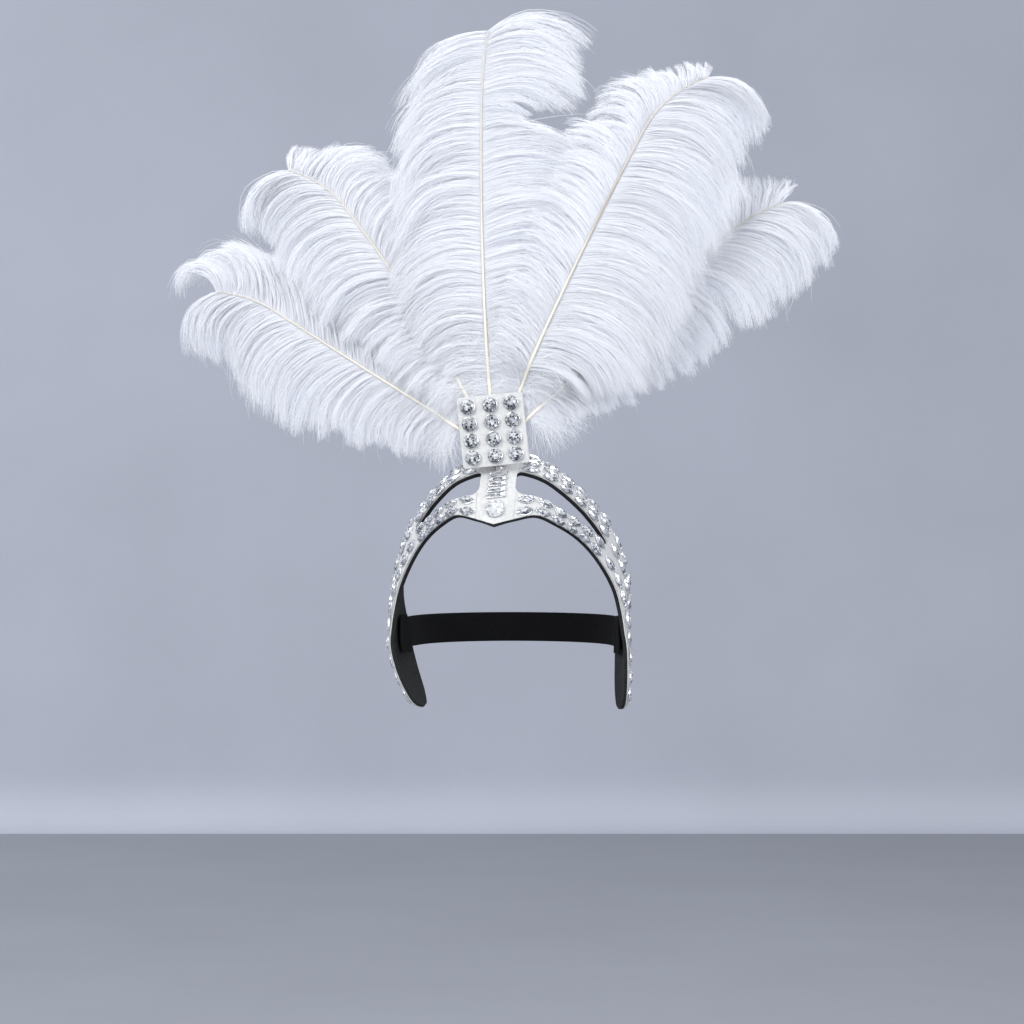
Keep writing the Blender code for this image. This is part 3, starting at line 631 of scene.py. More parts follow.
def fine_lines(side, station, inset=0.0, reveal=0.0):
    """Shares across a section where the fine surface has points; the reveal is kept from lower edges."""
    chord = (edge_point(station, "rear") - edge_point(station, "front")).length
    away = max(0.0, frame_value(station, "front_x") * HALF_WIDTH - STRUT_HALF_WIDTH)
    low = opening_edge(side, station, "low") + (fillet(away, FILLET_LOW) - inset) / chord
    high = opening_edge(side, station, "high") - (fillet(away, FILLET_HIGH) - inset - reveal) / chord
    begin, end = (inset + reveal) / chord, 1.0 - inset / chord
    lines = [begin + (low - begin) * step / LOW_ROWS for step in range(LOW_ROWS)]
    lines += [low + (high - low) * step / MIDDLE_ROWS for step in range(MIDDLE_ROWS)]
    lines += [high + (end - high) * step / HIGH_ROWS for step in range(HIGH_ROWS + 1)]
    return lines


def shell_object(name, columns, lift, material, inset=0.0, reveal=0.0):
    """Open sheet over the columns, without the cells of the openings."""
    points, faces = [], []
    for side, station in columns:
        lines = fine_lines(side, station, inset, reveal)
        points += [frame_point(side, station, across, lift) for across in lines]
    rows = LOW_ROWS + MIDDLE_ROWS + HIGH_ROWS + 1
    for column in range(len(columns) - 1):
        pair = (columns[column], columns[column + 1])
        side = min(pair, key=lambda at: -at[1])[0]
        nearest = min(station for _, station in pair)
        farthest = max(station for _, station in pair)
        is_open = nearest >= STRUT_STATION - 1e-6 and farthest <= OPENING_END[side] + 1e-6
        for row in range(rows - 1):
            if is_open and LOW_ROWS <= row < LOW_ROWS + MIDDLE_ROWS:
                continue
            first = column * rows + row
            faces.append((first, first + rows, first + rows + 1, first + 1))
    return list_object(name, points, faces, material)


def build_frame(looks):
    left = [(-1, station) for station in reversed(fine_stations(-1))]
    right = [(1, station) for station in fine_stations(1)[1:]]
    foam = shell_object("foam_shell", left + right, -CLEARANCE, looks["foam"])
    add_wall(foam, FOAM_THICKNESS, -1.0, FOAM_EDGE)
    declare(foam, "foam", "frame_core")
    facing = shell_object("facing_shell", left + right, 0.0, looks["facing"], 0.0, FOAM_REVEAL)
    add_wall(facing, FACING_THICKNESS, 1.0, FACING_EDGE)
    declare(facing, "facing", "frame_facing")


# Stones

class Heap:
    """Points, faces and face tints of many small bodies that become one mesh."""

    def __init__(self):
        self.points, self.faces, self.tints = [], [], []

    def add(self, points, faces, tints, matrix):
        base = len(self.points)
        self.points += [matrix @ Vector(point) for point in points]
        self.faces += [tuple(base + corner for corner in face) for face in faces]
        self.tints += tints

    def into(self, name, material):
        return list_object(name, self.points, self.faces, material, self.tints, False)


def oval_outline(length, width, pointed):
    """Outline of a stone by angle, grown outward by a margin."""
    def at(angle, margin=0.0):
        over = math.sin(angle)
        over = over * abs(over) if pointed else over
        return (length / 2.0 + margin) * math.cos(angle), (width / 2.0 + margin) * over
    return at


def round_outline(diameter):
    return oval_outline(diameter, diameter, False)


def step_outline(length, width):
    """Outline of an oblong stone with cut corners, grown outward by a margin."""
    corners = ((1.0, 0.0), (1.0, 0.55), (0.86, 1.0), (0.0, 1.0), (-0.86, 1.0), (-1.0, 0.55), (-1.0, 0.0))
    corners += ((-1.0, -0.55), (-0.86, -1.0), (0.0, -1.0), (0.86, -1.0), (1.0, -0.55))

    def at(angle, margin=0.0):
        place = (angle / math.tau) % 1.0 * len(corners)
        first, share = int(place) % len(corners), place % 1.0
        here, there = corners[first], corners[(first + 1) % len(corners)]
        x = here[0] * (1 - share) + there[0] * share
        y = here[1] * (1 - share) + there[1] * share
        return (length / 2.0 + margin) * x, (width / 2.0 + margin) * y
    return at


def cut_stone(heap, outline, height, matrix, random, reflection_lift=0.0):
    """Crown over an outline: girdle, kites, stars and a table split by the facets seen through it; tints are
    painted reflections.
    """
    points = []
    for scale, level, count, shift in STONE_RINGS:
        for index in range(count):
            x, y = outline(math.tau * (index + shift) / count)
            points.append((x * scale, y * scale, level * height))
    girdle, upper, table, heart = 16, 32, 40, 48
    faces = [tuple(reversed(range(girdle)))] + tube_faces(0, girdle, 2)
    kinds = ["foot"] + ["side"] * girdle
    for k in range(8):
        after, before = (k + 1) % 8, (k - 1) % 8
        g0, g1, g2 = girdle + 2 * k, girdle + 2 * k + 1, girdle + (2 * k + 2) % 16
        faces += [(g0, g1, upper + k), (g1, g2, upper + k)]
        faces += [(g0, upper + k, table + k, upper + before), (upper + k, table + after, table + k)]
        faces += [(table + k, table + after, heart + k), (table + k, heart + k, heart + before)]
        kinds += ["rim", "rim", "kite", "star", "fan", "spoke"]
    faces.append(tuple(range(heart, heart + 8)))
    kinds.append("heart")
    turn = matrix.to_3x3()
    tints = []
    for face, kind in zip(faces, kinds):
        a, b, c = (Vector(points[corner]) for corner in face[:3])
        facing = (turn @ (b - a).cross(c - a)).normalized()
        low, high = FACET_PAINTED_REFLECTIONS[kind]
        # Painted reflections: each facet gets a tint within its kind's range, raised or lowered for the whole
        # stone, and facets that look down get painted shade
        tint = low + (high - low) * random.random() ** FACET_POWER
        tint += reflection_lift - DOWNWARD_SHADE * max(0.0, -facing.z - DOWNWARD_FROM)
        tints.append(min(1.0, max(0.0, tint)))
    heap.add(points, faces, tints, matrix)


def cup(heap, outline, height, matrix, claws):
    """Metal cup round a stone, with claws bent over its girdle."""
    points = []
    for level, margin in CUP_PROFILE:
        for index in range(CUP_POINTS):
            x, y = outline(math.tau * index / CUP_POINTS, margin)
            points.append((x, y, level * height))
    faces = tube_faces(0, CUP_POINTS, len(CUP_PROFILE))
    for claw in claws:
        base = len(points)
        for level, margin, half, rise in CLAW_PROFILE:
            for way, depth in ((-1, 0.0), (1, 0.0), (1, CLAW_DEPTH), (-1, CLAW_DEPTH)):
                x, y = outline(claw + way * half, margin - depth)
                points.append((x, y, level * height + (0.0 if depth else rise)))
        faces += tube_faces(base, 4, len(CLAW_PROFILE))
        faces.append((base + 8, base + 9, base + 10, base + 11))
    heap.add(points, faces, [0.5] * len(faces), matrix)


def row_stations(side, across_at, start, end):
    """Stations of the marquises in a row, at an even pitch along it."""
    steps = 120
    places = [start + (end - start) * step / steps for step in range(steps + 1)]
    points = [frame_point(side, place, across_at(place)) for place in places]
    lengths = np.concatenate([[0.0], np.cumsum([(b - a).length for a, b in zip(points, points[1:])])])
    count = int(lengths[-1] / MARQUISE_PITCH)
    wanted = (np.arange(count) + 0.5) * lengths[-1] / count
    return list(np.interp(wanted, lengths, places))


def marquise_places(side):
    start, end = STRUT_STATION + ROW_START, OPENING_END[side]
    rows = []
    for share in BAND_ROWS:
        rows.append((lambda at, k=share: k * opening_edge(side, at, "low"), start, end))
    for share in ARCH_ROWS:
        rows.append((lambda at, k=share: 1.0 - (1.0 - k) * (1.0 - opening_edge(side, at, "high")),
                     start, end))
    arm_end = end + (LAST_STATION - end) * 10.0 / 11.0 - 0.1
    for share in ARM_ROWS:
        rows.append((lambda at, k=share: k, end + ARM_ROW_START, arm_end))
    places = []
    for across_at, begin, finish in rows:
        places += [(station, across_at(station)) for station in row_stations(side, across_at, begin, finish)]
    return places


def build_stone_field(node, side, looks, random):
    stations = [at for at in fine_stations(side) if STRUT_STATION + 0.05 < at < LAST_STATION - 0.25]
    columns = [(side, station) for station in stations]
    if side < 0:
        columns.reverse()
    lift = FACING_THICKNESS + CLEARANCE
    backing = shell_object(node + "_backing", columns, lift, looks["facing"], SETTING_INSET)
    add_wall(backing, BACKING_THICKNESS, 1.0, BACKING_EDGE)
    declare(backing, "facing", node)
    stones, cups = Heap(), Heap()
    outline = oval_outline(MARQUISE_LENGTH + MARQUISE_MORE, MARQUISE_WIDTH + MARQUISE_MORE, True)
    for station, across in marquise_places(side):
        swing = Matrix.Rotation(random.normal(0.0, math.radians(4.0)), 4, "Z")
        tilt = Matrix.Rotation(random.normal(0.0, math.radians(3.0)), 4, "X")
        matrix = surface_matrix(side, station, across, lift + BACKING_THICKNESS) @ swing @ tilt
        cut_stone(stones, outline, MARQUISE_HEIGHT + MARQUISE_CUT_MORE, matrix, random)
        cup(cups, outline, MARQUISE_HEIGHT + MARQUISE_CUP_MORE, matrix, OVAL_CLAWS)
    declare(stones.into(node + "_cut", looks["stone"]), "stone", node)
    declare(cups.into(node + "_cups", looks["setting"]), "setting", node)


# The last argument raises or lowers the painted reflections of the stone's facets
def single_stone(node, outline, height, matrix, looks, random, claws, reflection_lift=0.0):
    stone, metal = Heap(), Heap()
    cut_stone(stone, outline, height, matrix, random, reflection_lift)
    cup(metal, outline, height, matrix, claws)
    declare(stone.into(node + "_cut", looks["stone"]), "stone", node)
    declare(metal.into(node + "_cup", looks["setting"]), "setting", node)


def build_strut_stones(looks, random):
    lift = FACING_THICKNESS + CLEARANCE
    low = opening_edge(1, 0.0, "low")
    high = opening_edge(1, 0.0, "high")
    outline = round_outline(CENTRE_STONE_DIAMETER - CENTRE_CUP_ROOM)
    matrix = surface_matrix(1, 0.0, low * 0.52, lift)
    single_stone("centre_stone", outline, CENTRE_STONE_HEIGHT, matrix, looks, random, ROUND_CLAWS, 0.3)
    outline = step_outline(STRUT_STONE_LENGTH, STRUT_STONE_WIDTH - STRUT_CUP_ROOM)
    for index in range(STRUT_STONE_COUNT):
        across = low + (high - STRUT_TOP_SHARE - low) * index / (STRUT_STONE_COUNT - 1)
        matrix = surface_matrix(1, 0.0, across, lift)
        name = f"strut_stone_{index + 1}"
        single_stone(name, outline, STRUT_STONE_HEIGHT, matrix, looks, random, OVAL_CLAWS, 0.05)
    outline = round_outline(TOP_STONE_DIAMETER - TOP_CUP_ROOM)
    matrix = surface_matrix(1, 0.0, high + STRUT_TOP_SHARE, lift)
    single_stone("strut_top_stone", outline, TOP_STONE_HEIGHT, matrix, looks, random, ROUND_CLAWS, 0.3)


def build_plaque(looks, random):
    radius, edge, thick = PLAQUE_CORNER, PLAQUE_EDGE, PLAQUE_THICKNESS
    half_width, half_height = PLAQUE_WIDTH / 2.0, PLAQUE_HEIGHT / 2.0
    outline = []
    for corner, (sx, sy) in enumerate(((1, 1), (-1, 1), (-1, -1), (1, -1))):
        x, y = sx * (half_width - radius), sy * (half_height - radius)
        for step in range(CORNER_ARC_STEPS + 1):
            angle = math.pi / 2.0 * (corner + step / CORNER_ARC_STEPS)
            outline.append((x, y, math.cos(angle), math.sin(angle)))
    matrix = plaque_matrix(0.0, PLAQUE_FRONT_Y + thick, 0.0)
    points, count = [], len(outline)
    for inset, level in ((edge, 0.0), (0.0, edge), (0.0, thick - edge), (edge, thick)):
        for x, y, cos, sin in outline:
            points.append(matrix @ Vector((x + (radius - inset) * cos, y + (radius - inset) * sin, level)))
    faces = [tuple(reversed(range(count)))] + tube_faces(0, count, 4) + [tuple(range(3 * count, 4 * count))]
    board = list_object("plaque_board", points, faces, looks["facing"], smooth=False)
    declare(board, "facing", "plaque_front")
    outline = round_outline(PLAQUE_STONE_DIAMETER - PLAQUE_CUP_ROOM)
    for row in range(PLAQUE_STONE_ROWS):
        height = ((PLAQUE_STONE_ROWS - 1) / 2.0 - row) * PLAQUE_STONE_ROW_PITCH
        for column, x in enumerate(PLAQUE_STONE_COLUMNS):
            turn = Matrix.Rotation(random.uniform(0.0, math.pi), 4, "Z")
            tilt = Matrix.Rotation(random.normal(0.0, math.radians(2.5)), 4, "X")
            matrix = plaque_matrix(x, PLAQUE_FRONT_Y - CLEARANCE, height) @ tilt @ turn
            name = f"plaque_stone_{row + 1}_{column + 1}"
            single_stone(name, outline, PLAQUE_STONE_HEIGHT, matrix, looks, random, ROUND_CLAWS, -0.05)
    for name in ("plaque_back", "plaque_bracket"):
        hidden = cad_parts[name]
        hidden.data.materials.clear()
        hidden.data.materials.append(looks["facing"])


# Strap

def arm_line(side, across, depth):
    """Points down the inside of an arm."""
    stations = np.linspace(OPENING_END[side] + 0.05, LAST_STATION, 70)
    return np.array([frame_point(side, station, across, -depth) for station in stations])


def at_height(points, height):
    """Place on a line of points at a height."""
    order = np.argsort(points[:, 2])
    return np.array([np.interp(height, points[order, 2], points[order, axis]) for axis in range(3)])


def build_strap(looks):
    depth = FOAM_THICKNESS + 2.0 * CLEARANCE + FACET_EASE + STRAP_THICKNESS / 2.0
    shares = np.linspace(0.42, 1.0, 8)
    arms = {side: [arm_line(side, share, depth) for share in shares] for side in (-1, 1)}
    levels = STRAP_WIDTH * (0.5 - np.linspace(0.0, 1.0, 25))
    sections = []
    for level in levels:
        right = [at_height(line, level) for line in arms[1]]
        left = [at_height(line, level) for line in arms[-1]]
        path = list(right)
        for turn in np.linspace(0.0, math.pi, STRAP_ROUND_POINTS)[1:-1]:
            ease = (1.0 + math.cos(turn)) / 2.0
            half = abs(right[-1][0]) * ease + abs(left[-1][0]) * (1.0 - ease)
            ahead = right[-1][1] * ease + left[-1][1] * (1.0 - ease)
            path.append(np.array([
                half * math.cos(turn), ahead + (STRAP_REACH - ahead) * math.sin(turn) ** 0.9, level]))
        path += left[::-1]
        path = np.array(path)
        for _ in range(STRAP_SMOOTHINGS):
            path[3:-3] = (path[2:-4] + 2.0 * path[3:-3] + path[4:-2]) / 4.0
        sections.append(path)
    grid = np.array(sections)
    along = np.gradient(grid, axis=1)
    out = np.cross(along, np.array([0.0, 0.0, 1.0]))
    out /= np.linalg.norm(out, axis=2, keepdims=True)
    across = np.linspace(0.0, 1.0, len(levels))
    ribs = 1.0 + STRAP_RIB_DEPTH * np.cos(across * 2.0 * math.pi * STRAP_RIBS)
    edge = np.minimum(1.0, np.minimum(across, 1.0 - across) * 16.0 + 0.25)
    half = (STRAP_THICKNESS / 2.0 * edge * ribs * STRAP_FLATTENING)[:, None, None]
    front, back = grid + out * half, grid - out * half
    ring = np.concatenate([front, back[::-1]], axis=0)
    index = grid_of(ring)
    following = np.roll(index, -1, axis=0)
    quads = quads_of(index[:, :-1], index[:, 1:], following[:, 1:], following[:, :-1])
    strap = array_object("strap_band", ring.reshape(-1, 3), [quads], looks["elastic"])
    declare(strap, "elastic", "elastic_strap")
    for node, side in (("strap_patch_left", -1), ("strap_patch_right", 1)):
        build_patch(node, side, looks)


def build_patch(node, side, looks):
    depth = FOAM_THICKNESS + 3.0 * CLEARANCE + 2.0 * FACET_EASE + STRAP_THICKNESS + PATCH_THICKNESS / 2.0
    top, bottom = STRAP_WIDTH / 2.0 + PATCH_OVERHANG, -STRAP_WIDTH / 2.0 - 2.0 * PATCH_OVERHANG
    shares, levels = np.linspace(0.34, 0.86, 15), np.linspace(top, bottom, 19)
    lines = [arm_line(side, share, depth) for share in shares]
    grid = np.array([[at_height(line, level) for level in levels] for line in lines])
    index = grid_of(grid)
    quads = quads_of(index[:-1, :-1], index[:-1, 1:], index[1:, 1:], index[1:, :-1])
    patch = array_object(node + "_cloth", grid.reshape(-1, 3), [quads], looks["elastic"])
    add_wall(patch, PATCH_THICKNESS, 0.0, PATCH_EDGE)
    declare(patch, "elastic", node)


# Plumes

def quill_angles(plume, along):
    """Direction of a quill, from upright towards the left."""
    droop = plume["droop"] * smooth_step((along - DROOP_START) / (1.0 - DROOP_START))
    return np.radians(plume["heading"] + plume["turn"] * along + droop)


class Plume:
    """One plume: paths in the plane of the fan, and their depth in it."""

    def __init__(self, row, look):
        self.row = dict(zip(PLUME_COLUMNS, row))
        more_heading, more_turn, droop_share, length_share = look
        self.row["heading"] += more_heading
        self.row["turn"] += more_turn
        self.row["droop"] *= droop_share
        self.row["length"] *= length_share
        steps = 600
        self.along = np.linspace(0.0, 1.0, steps + 1)
        angle = quill_angles(self.row, (self.along[1:] + self.along[:-1]) / 2.0)
        size = self.row["length"] / steps
        self.x = np.concatenate([[0.0], np.cumsum(-np.sin(angle)) * size])
        self.z = np.concatenate([[0.0], np.cumsum(np.cos(angle)) * size])
        self.start = (self.row["exit"] + BARE_QUILL) / self.row["length"]

    def vane_share(self, along):
        """Share of the vane's length at a share of the quill's."""
        return np.clip((along - self.start) / (1.0 - self.start), 0.0, 1.0)

    def quill(self, along):
        return np.stack([np.interp(along, self.along, self.x), np.interp(along, self.along, self.z)], axis=-1)

    def depth(self, flat, cup_depth):
        radius = np.hypot(flat[..., 0], flat[..., 1])
        beyond = np.maximum(0.0, radius - self.row["exit"])
        share = beyond / FAN_RADIUS
        layer = self.row["layer"] * smooth_step(beyond / LAYER_RAMP)
        depth = FAN_LEAN_BACK * share - FAN_CURL * share ** 3
        layer = layer * (1.0 + LAYER_SPREAD * share)
        return QUILL_PLANE + layer + depth + cup_depth * np.minimum(1.0, 2.0 * share)

    def place(self, flat, cup_depth):
        return np.stack([FAN_X + flat[..., 0], self.depth(flat, cup_depth), FAN_Z + flat[..., 1]], axis=-1)

    def vane(self, side, share):
        """Directions in which barbs leave and end, and their length."""
        sizes = []
        for way in (1, -1):
            columns = dict(zip(VANE_COLUMNS, np.transpose(VANES[self.row["name"], way]).astype(float)))
            sizes.append([np.interp(share, columns["along"], columns[wanted]) for wanted in VANE_COLUMNS[1:]])
        leave, end, reach = np.where(side > 0, sizes[0], sizes[1])
        for plume, way, along, width, depth in PARTS:
            if plume == self.row["name"]:
                parted = depth * np.exp(-((share - along) / width) ** 2)
                reach = reach * (1.0 - np.where(side * way > 0, parted, 0.0))
        return leave, end, reach / 1000.0

    def barbs(self, side, root, out, angle_more, sag_scale, reach_scale):
        """Paths of barbs from their roots along the quill, by shares of their own length."""
        leave, end, reach = self.vane(side, self.vane_share(root))
        turn = (end - leave) * sag_scale
        leave = leave + side * angle_more
        middle = (out[1:] + out[:-1]) / 2.0
        angle = np.radians(leave[:, None] + turn[:, None] * middle ** BEND_POWER)
        steps = np.stack([-np.sin(angle), np.cos(angle)], axis=-1) * np.diff(out)[:, None]
        path = np.concatenate([np.zeros((len(root), 1, 2)), np.cumsum(steps, axis=1)], axis=1)
        return self.quill(root)[:, None, :] + path * (reach * reach_scale)[:, None, None]


def ribbons(points, half_width, twist):
    """Strips along many paths, turned about their own length by the twist."""
    tangent = unit(np.gradient(points, axis=1))
    side = unit(np.cross(tangent, np.array([0.0, 1.0, 0.0])))
    other = np.cross(tangent, side)
    width = side * np.cos(twist)[..., None] + other * np.sin(twist)[..., None]
    edge = width * half_width[..., None]
    corners = np.stack([points - edge, points + edge], axis=2)
    count, steps = points.shape[:2]
    index = np.arange(count * steps * 2).reshape(count, steps, 2)
    quads = quads_of(index[:, :-1, 0], index[:, :-1, 1], index[:, 1:, 1], index[:, 1:, 0])
    return corners.reshape(-1, 3), quads, tangent, width


def vane_paths(plume, random):
    """Barbs of both vanes: each follows its clump, and clumps follow a slow wave along the quill."""
    row = plume.row
    count = BARBS
    halves = np.linspace(0.0, 1.0, 50)
    spans = [plume.vane(np.full(50, way), halves)[2].mean() for way in (1.0, -1.0)]
    side = np.where(random.random(count) < spans[0] / sum(spans), 1.0, -1.0)
    root = plume.start + (1.0 - plume.start) * random.random(count)
    out = np.linspace(0.0, 1.0, BARB_POINTS)

    waves = int(row["length"] / WAVE_PITCH) + 3
    knots = np.linspace(0.0, 1.0, waves)
    slow = {name: random.normal(0.0, size, (2, waves)) for name, size in WAVE_SIZES.items()}

    clumps = int(row["length"] / CLUMP_PITCH) + 2
    number = np.clip((root * row["length"] / CLUMP_PITCH).astype(int), 0, clumps - 1)
    which = (side > 0).astype(int)
    jitter = random.uniform(0.2, 0.8, (2, clumps))
    quick = {name: random.normal(0.0, size, (2, clumps)) for name, size in CLUMP_SIZES.items()}
    centre = np.clip((number + jitter[which, number]) * CLUMP_PITCH / row["length"], plume.start, 1.0)

    def shared(name):
        right, left = (np.interp(centre, knots, wave) for wave in slow[name])
        return np.where(which == 1, left, right) + quick[name][which, number]

    def own(name):
        return random.normal(0.0, BARB_SIZES[name], count)

    angle, sag, reach = shared("angle"), 1.0 + shared("sag"), 1.0 + shared("reach")
    own_reach = reach * (1.0 - np.abs(own("reach")))
    stray = random.random(count) < STRAY_SHARE
    own_reach = np.where(stray, reach * random.uniform(*STRAY_REACH, count), own_reach)
    own_angle = angle + own("angle") + np.where(stray, random.normal(0.0, STRAY_ANGLE, count), 0.0)
    own_sag = sag * (1.0 + own("sag"))
    mine = plume.barbs(side, root, out, own_angle, own_sag, own_reach)
    ours = plume.barbs(side, centre, out, angle, sag, own_reach)
    pull = random.uniform(0.0, CLUMP_PULL, count) * np.where(stray, 0.0, 1.0)
    ease = smooth_step((out - PULL_START) / PULL_SPAN)
    mix = (pull[:, None] * ease)[..., None]
    flat = mine * (1.0 - mix) + ours * mix

    step = np.gradient(flat, axis=1)
    normal = unit(np.stack([-step[..., 1], step[..., 0]], axis=-1))
    phase = quick["phase"][which, number][:, None]
    sway = CLUMP_SWAY * np.sin(math.tau * out * CLUMP_SWAY_WAVES + phase) * out
    own_phase = random.uniform(0.0, math.tau, count)[:, None]
    own_rate = random.uniform(*BARB_SWAY_WAVES, count)[:, None]
    sway = sway + BARB_SWAY * np.sin(math.tau * out * own_rate + own_phase) * out
    flat = flat + normal * sway[..., None]

    points = plume.place(flat, LOCK_CUP * out ** 2)
    lift = shared("depth") + own("depth")
    points[..., 1] += lift[:, None] * np.sqrt(out) + BARB_LIFT
    return points, BARB_TINT + quick["tint"][which, number] + own("tint")


def down_paths(plume, random):
    """Short soft barbs about the foot of the vane."""
    row = plume.row
    count = DOWN_BARBS
    side = np.where(random.random(count) < 0.5, 1.0, -1.0)
    first = (row["exit"] - DOWN_START) / row["length"]
    root = first + DOWN_SPAN * random.random(count) ** 1.4
    out = np.linspace(0.0, 1.0, DOWN_POINTS)
    scale = random.uniform(*DOWN_REACH, count) / plume.vane(side, plume.vane_share(root))[2]
    angle = random.normal(0.0, DOWN_SPREAD, count)
    sag = random.uniform(0.2, 1.2, count)
    flat = plume.barbs(side, root, out, angle, sag, scale)
    phase = random.uniform(0.0, math.tau, (count, 2, 1))
    rate = random.uniform(*DOWN_SWAY_WAVES, (count, 2, 1))
    sway = DOWN_SWAY * np.sin(math.tau * out * rate + phase) * out
    flat = flat + np.moveaxis(sway, 1, 2)
    points = plume.place(flat, 0.0)
    points[..., 1] += random.normal(0.001, 0.005, count)[:, None] * out + 0.001
    return points, random.normal(DOWN_TINT, 0.14, count)


def hairs_of(points, tangent, width, random):
    """Loose hairs as slim triangles, and the barb on which each stands."""
    barb = random.integers(0, len(points), HAIRS)
    step = random.integers(1, BARB_POINTS - 1, HAIRS)
    share = random.random((HAIRS, 1))
    foot = points[barb, step] * (1.0 - share) + points[barb, step + 1] * share
    way = random.choice([-1.0, 1.0], (HAIRS, 1))
    lean = random.uniform(0.5, 1.0, (HAIRS, 1))
    ray = tangent[barb, step] * np.cos(lean) + width[barb, step] * np.sin(lean) * way
    ray[:, 1] += random.normal(0.0, 0.25, HAIRS)
    size = random.uniform(*HAIR_LENGTH, (HAIRS, 1))
    span = tangent[barb, step] * HAIR_FOOT
    return np.stack([foot - span, foot + span, foot + ray * size], axis=1).reshape(-1, 3), barb


def build_plume(index, looks):
    """Barbs, down and hairs of a plume as one piece, and its shaft."""
    random = np.random.default_rng(PLUME_SEED + index)
    plume = Plume(PLUMES[index], PLUME_LOOKS[index])
    name = plume.row["name"]
    points, tint = vane_paths(plume, random)
    out = np.linspace(0.0, 1.0, BARB_POINTS)
    taper = BARB_HALF_WIDTH * (1.0 - 0.72 * out ** 1.4)
    half = taper * random.uniform(0.65, 1.35, (len(points), 1))
    twist = random.normal(0.0, 0.42, (len(points), 1))
    twist = twist + out * random.normal(0.0, 0.4, (len(points), 1))
    vane, quads, tangent, width = ribbons(points, half, twist)

    down, down_tint = down_paths(plume, random)
    soft = np.linspace(0.0, 1.0, DOWN_POINTS)
    half = DOWN_HALF_WIDTH * (1.0 - 0.6 * soft) * np.ones((len(down), 1))
    down_twist = np.repeat(random.normal(0.0, 0.8, (len(down), 1)), DOWN_POINTS, axis=1)
    fluff, fluff_quads, _, _ = ribbons(down, half, down_twist)

    hair, barb = hairs_of(points, tangent, width, random)
    hair_faces = np.arange(HAIRS * 3).reshape(-1, 3)
    all_points = np.concatenate([vane, fluff, hair])
    faces = [quads, fluff_quads + len(vane), hair_faces + len(vane) + len(fluff)]
    tints = np.concatenate([
        np.repeat(tint, BARB_POINTS * 2), np.repeat(down_tint, DOWN_POINTS * 2), np.repeat(tint[barb], 3)])
    tints = np.clip(tints, 0.0, 1.0)
    declare(array_object(name + "_barbs", all_points, faces, looks["feather"], tints), "feather", name)
    build_quill(plume, looks)


def build_quill(plume, looks):
    """Tapered shaft of a plume, in front of its barbs."""
    row = plume.row
    along = np.linspace(QUILL_START / row["length"], 1.0, QUILL_POINTS)
    middle = plume.place(plume.quill(along), 0.0)
    share = plume.vane_share(along)
    middle[:, 1] -= QUILL_AHEAD * np.minimum(1.0, share * 12.0)
    radius = (QUILL_WIDTH + (QUILL_TIP_WIDTH * 0.6 - QUILL_WIDTH) * share ** 0.8) / 2.0
    angle = quill_angles(row, along)
    across = np.stack([np.cos(angle), np.zeros_like(angle), np.sin(angle)], axis=-1)
    ring = []
    for turn in np.linspace(0.0, math.tau, QUILL_SIDES + 1)[:-1]:
        lift = np.array([0.0, -1.0, 0.0]) * math.sin(turn) * 0.8
        ring.append(middle + (across * math.cos(turn) + lift) * radius[:, None])
    ring = np.stack(ring, axis=1)
    index = grid_of(ring)
    following = np.roll(index, -1, axis=1)
    quads = quads_of(index[:-1], following[:-1], following[1:], index[1:])
    brown = BROWN_DEPTH.get(row["name"], BROWN_DEPTH_ELSEWHERE)
    tint = 0.95 - 0.50 * share ** 1.5 - brown * np.exp(-((share - BROWN_PLACE) / BROWN_WIDTH) ** 2)
    tints = np.clip(np.repeat(tint, QUILL_SIDES), 0.0, 1.0)
    quill = array_object(row["name"] + "_shaft", ring.reshape(-1, 3), [quads], looks["quill"], tints)
    declare(quill, "feather", row["name"])


# Stage, light and camera

AZIMUTH, ELEVATION, DISTANCE = math.radians(8.0), math.radians(1.0), 2.6
AIM = Vector((0.00157, 0.0, 0.0940))
LENS = 117.6
SENSOR_WIDTH = 36.0
FLOOR_Z = -0.505
WALL_AWAY = 3.30
WALL_TOP = 6.0
COVE_HEIGHT = 0.088
COVE_STEPS = 24
SHEET_REACH = 30.0
# One paper colour for backdrop and floor: the backdrop's copy is brightened as painted light, the floor's
# darkened as painted shade
PAPER_COLOUR = (0.382, 0.400, 0.455)
BACKDROP_PAINTED_LIGHT = 1.28
FLOOR_PAINTED_SHADE = 0.78
COOL_WHITE = (0.96, 0.98, 1.0)


def sheet_of(name, profile, shade):
    """Strip of the backdrop through a profile of depths and heights, square to the camera, its paper colour
    scaled by the shade, which paints light on the backdrop and shade on the floor.
    """
    turn = Matrix.Rotation(AZIMUTH, 4, "Z")
    points, faces = [], []
    for y, z in profile:
        points += [turn @ Vector((x, y, z)) for x in (-SHEET_REACH, SHEET_REACH)]
    for row in range(len(profile) - 1):
        faces.append((2 * row, 2 * row + 1, 2 * row + 3, 2 * row + 2))
    look = new_material(name + "_paper", 0.9)
    dark, light = (tuple(value * part for value in PAPER_COLOUR) for part in (shade * 0.96, shade * 1.04))
    colour_by(look, noise_of(look, 3.0, 6.0), ((0.25, dark), (0.75, light)))
    bump_by(look, noise_of(look, 160.0, 4.0), 0.15, 0.002)
    list_object(name, points, faces, look)


def build_stage():
    y, z = WALL_AWAY, FLOOR_Z + COVE_HEIGHT
    profile = [(y, WALL_TOP), (y, z)]
    for step in range(COVE_STEPS):
        angle = math.pi / 2.0 * smooth_step((step + 0.5) / COVE_STEPS)
        y -= 2.0 * COVE_HEIGHT / COVE_STEPS * math.sin(angle)
        z -= 2.0 * COVE_HEIGHT / COVE_STEPS * math.cos(angle)
        profile.append((y, z))
    sheet_of("backdrop", profile, BACKDROP_PAINTED_LIGHT)
    sheet_of("floor", [(y + 0.02, z + 0.001), (-SHEET_REACH, z + 0.001)], FLOOR_PAINTED_SHADE)


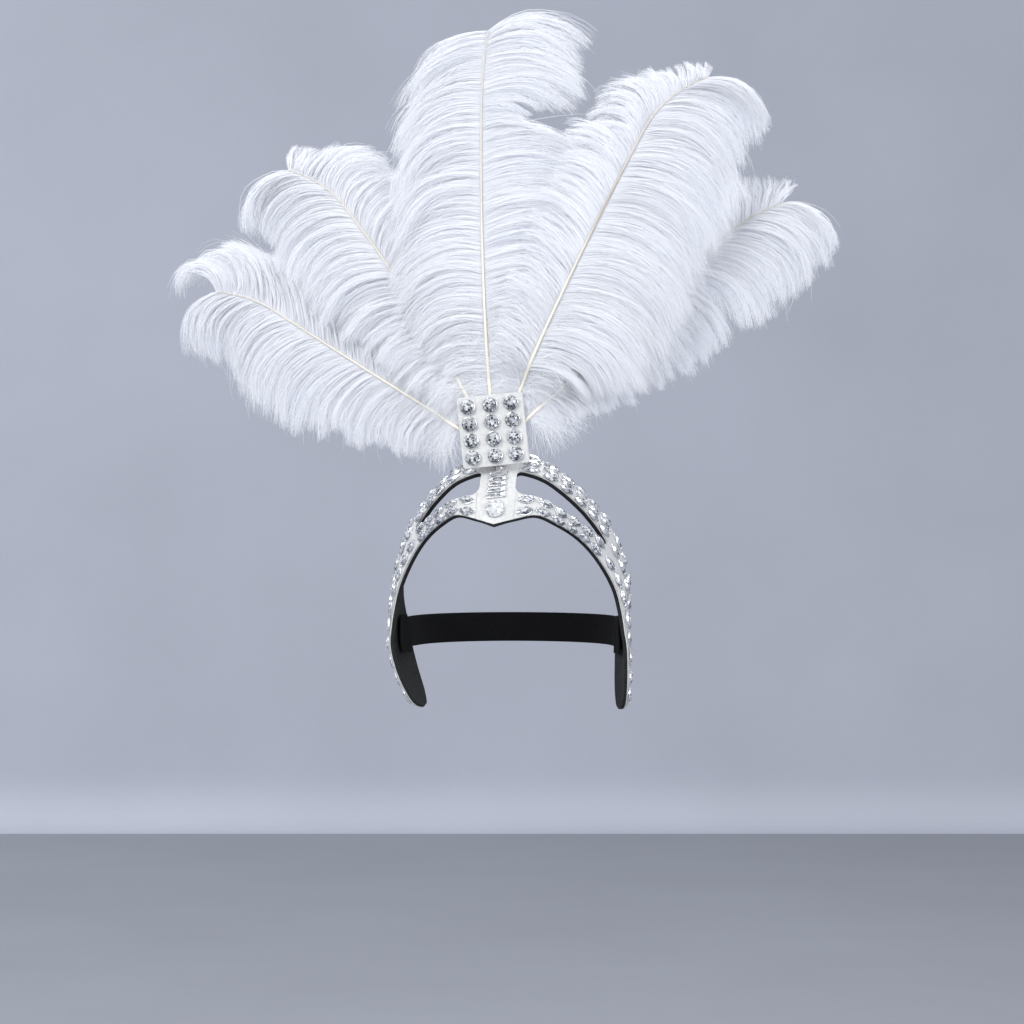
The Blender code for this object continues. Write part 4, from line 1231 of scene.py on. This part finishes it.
def put_up(name, data, aim, azimuth, elevation, distance):
    """Light or camera at a distance from what it is aimed at."""
    made = bpy.data.objects.new(name, data)
    bpy.context.scene.collection.objects.link(made)
    x, y = math.sin(azimuth) * math.cos(elevation), -math.cos(azimuth) * math.cos(elevation)
    back = Vector((x, y, math.sin(elevation)))
    made.location = aim + back * distance
    made.rotation_mode = "QUATERNION"
    made.rotation_quaternion = (-back).to_track_quat("-Z", "Y")
    return made


def area_light(name, azimuth, elevation, distance, size, power, colour=(1.0, 1.0, 1.0), aim=(0.0, 0.0, 0.18)):
    """Soft box at an angle from the camera's own side of what it lights, in degrees."""
    data = bpy.data.lights.new(name, "AREA")
    data.shape = "SQUARE"
    data.size = size
    data.energy = power
    data.color = colour
    centre = Matrix.Rotation(AZIMUTH, 4, "Z") @ Vector(aim)
    put_up(name, data, centre, AZIMUTH + math.radians(azimuth), math.radians(elevation), distance)


def build_light():
    world = bpy.data.worlds.new("studio")
    bpy.context.scene.world = world
    world.use_nodes = True
    ambient = world.node_tree.nodes["Background"]
    ambient.inputs["Color"].default_value = (0.93, 0.955, 1.0, 1.0)
    ambient.inputs["Strength"].default_value = 0.72
    area_light("key", -38.0, 30.0, 2.6, 1.5, 48.0)
    area_light("fill", 46.0, 12.0, 3.0, 1.6, 24.0, COOL_WHITE)
    area_light("low", 24.0, -4.0, 2.6, 1.2, 13.0, COOL_WHITE)
    area_light("rim", 150.0, 50.0, 2.2, 0.9, 16.0)
    area_light("wash", -60.0, 30.0, 2.6, 1.3, 52.0, COOL_WHITE, (-1.7, WALL_AWAY, 0.60))
    bpy.context.scene.view_settings.view_transform = "Standard"


def build_camera():
    data = bpy.data.cameras.new("camera")
    data.lens = LENS
    data.sensor_width = SENSOR_WIDTH
    bpy.context.scene.camera = put_up("camera", data, AIM, AZIMUTH, ELEVATION, DISTANCE)


def main():
    looks = make_materials()
    random = np.random.default_rng(STONE_SEED)
    build_frame(looks)
    build_stone_field("stones_left", -1, looks, random)
    build_stone_field("stones_right", 1, looks, random)
    build_strut_stones(looks, random)
    build_plaque(looks, random)
    build_strap(looks)
    for index in range(len(PLUMES)):
        build_plume(index, looks)
    build_stage()
    build_light()
    build_camera()
    bpy.context.view_layer.update()


main()
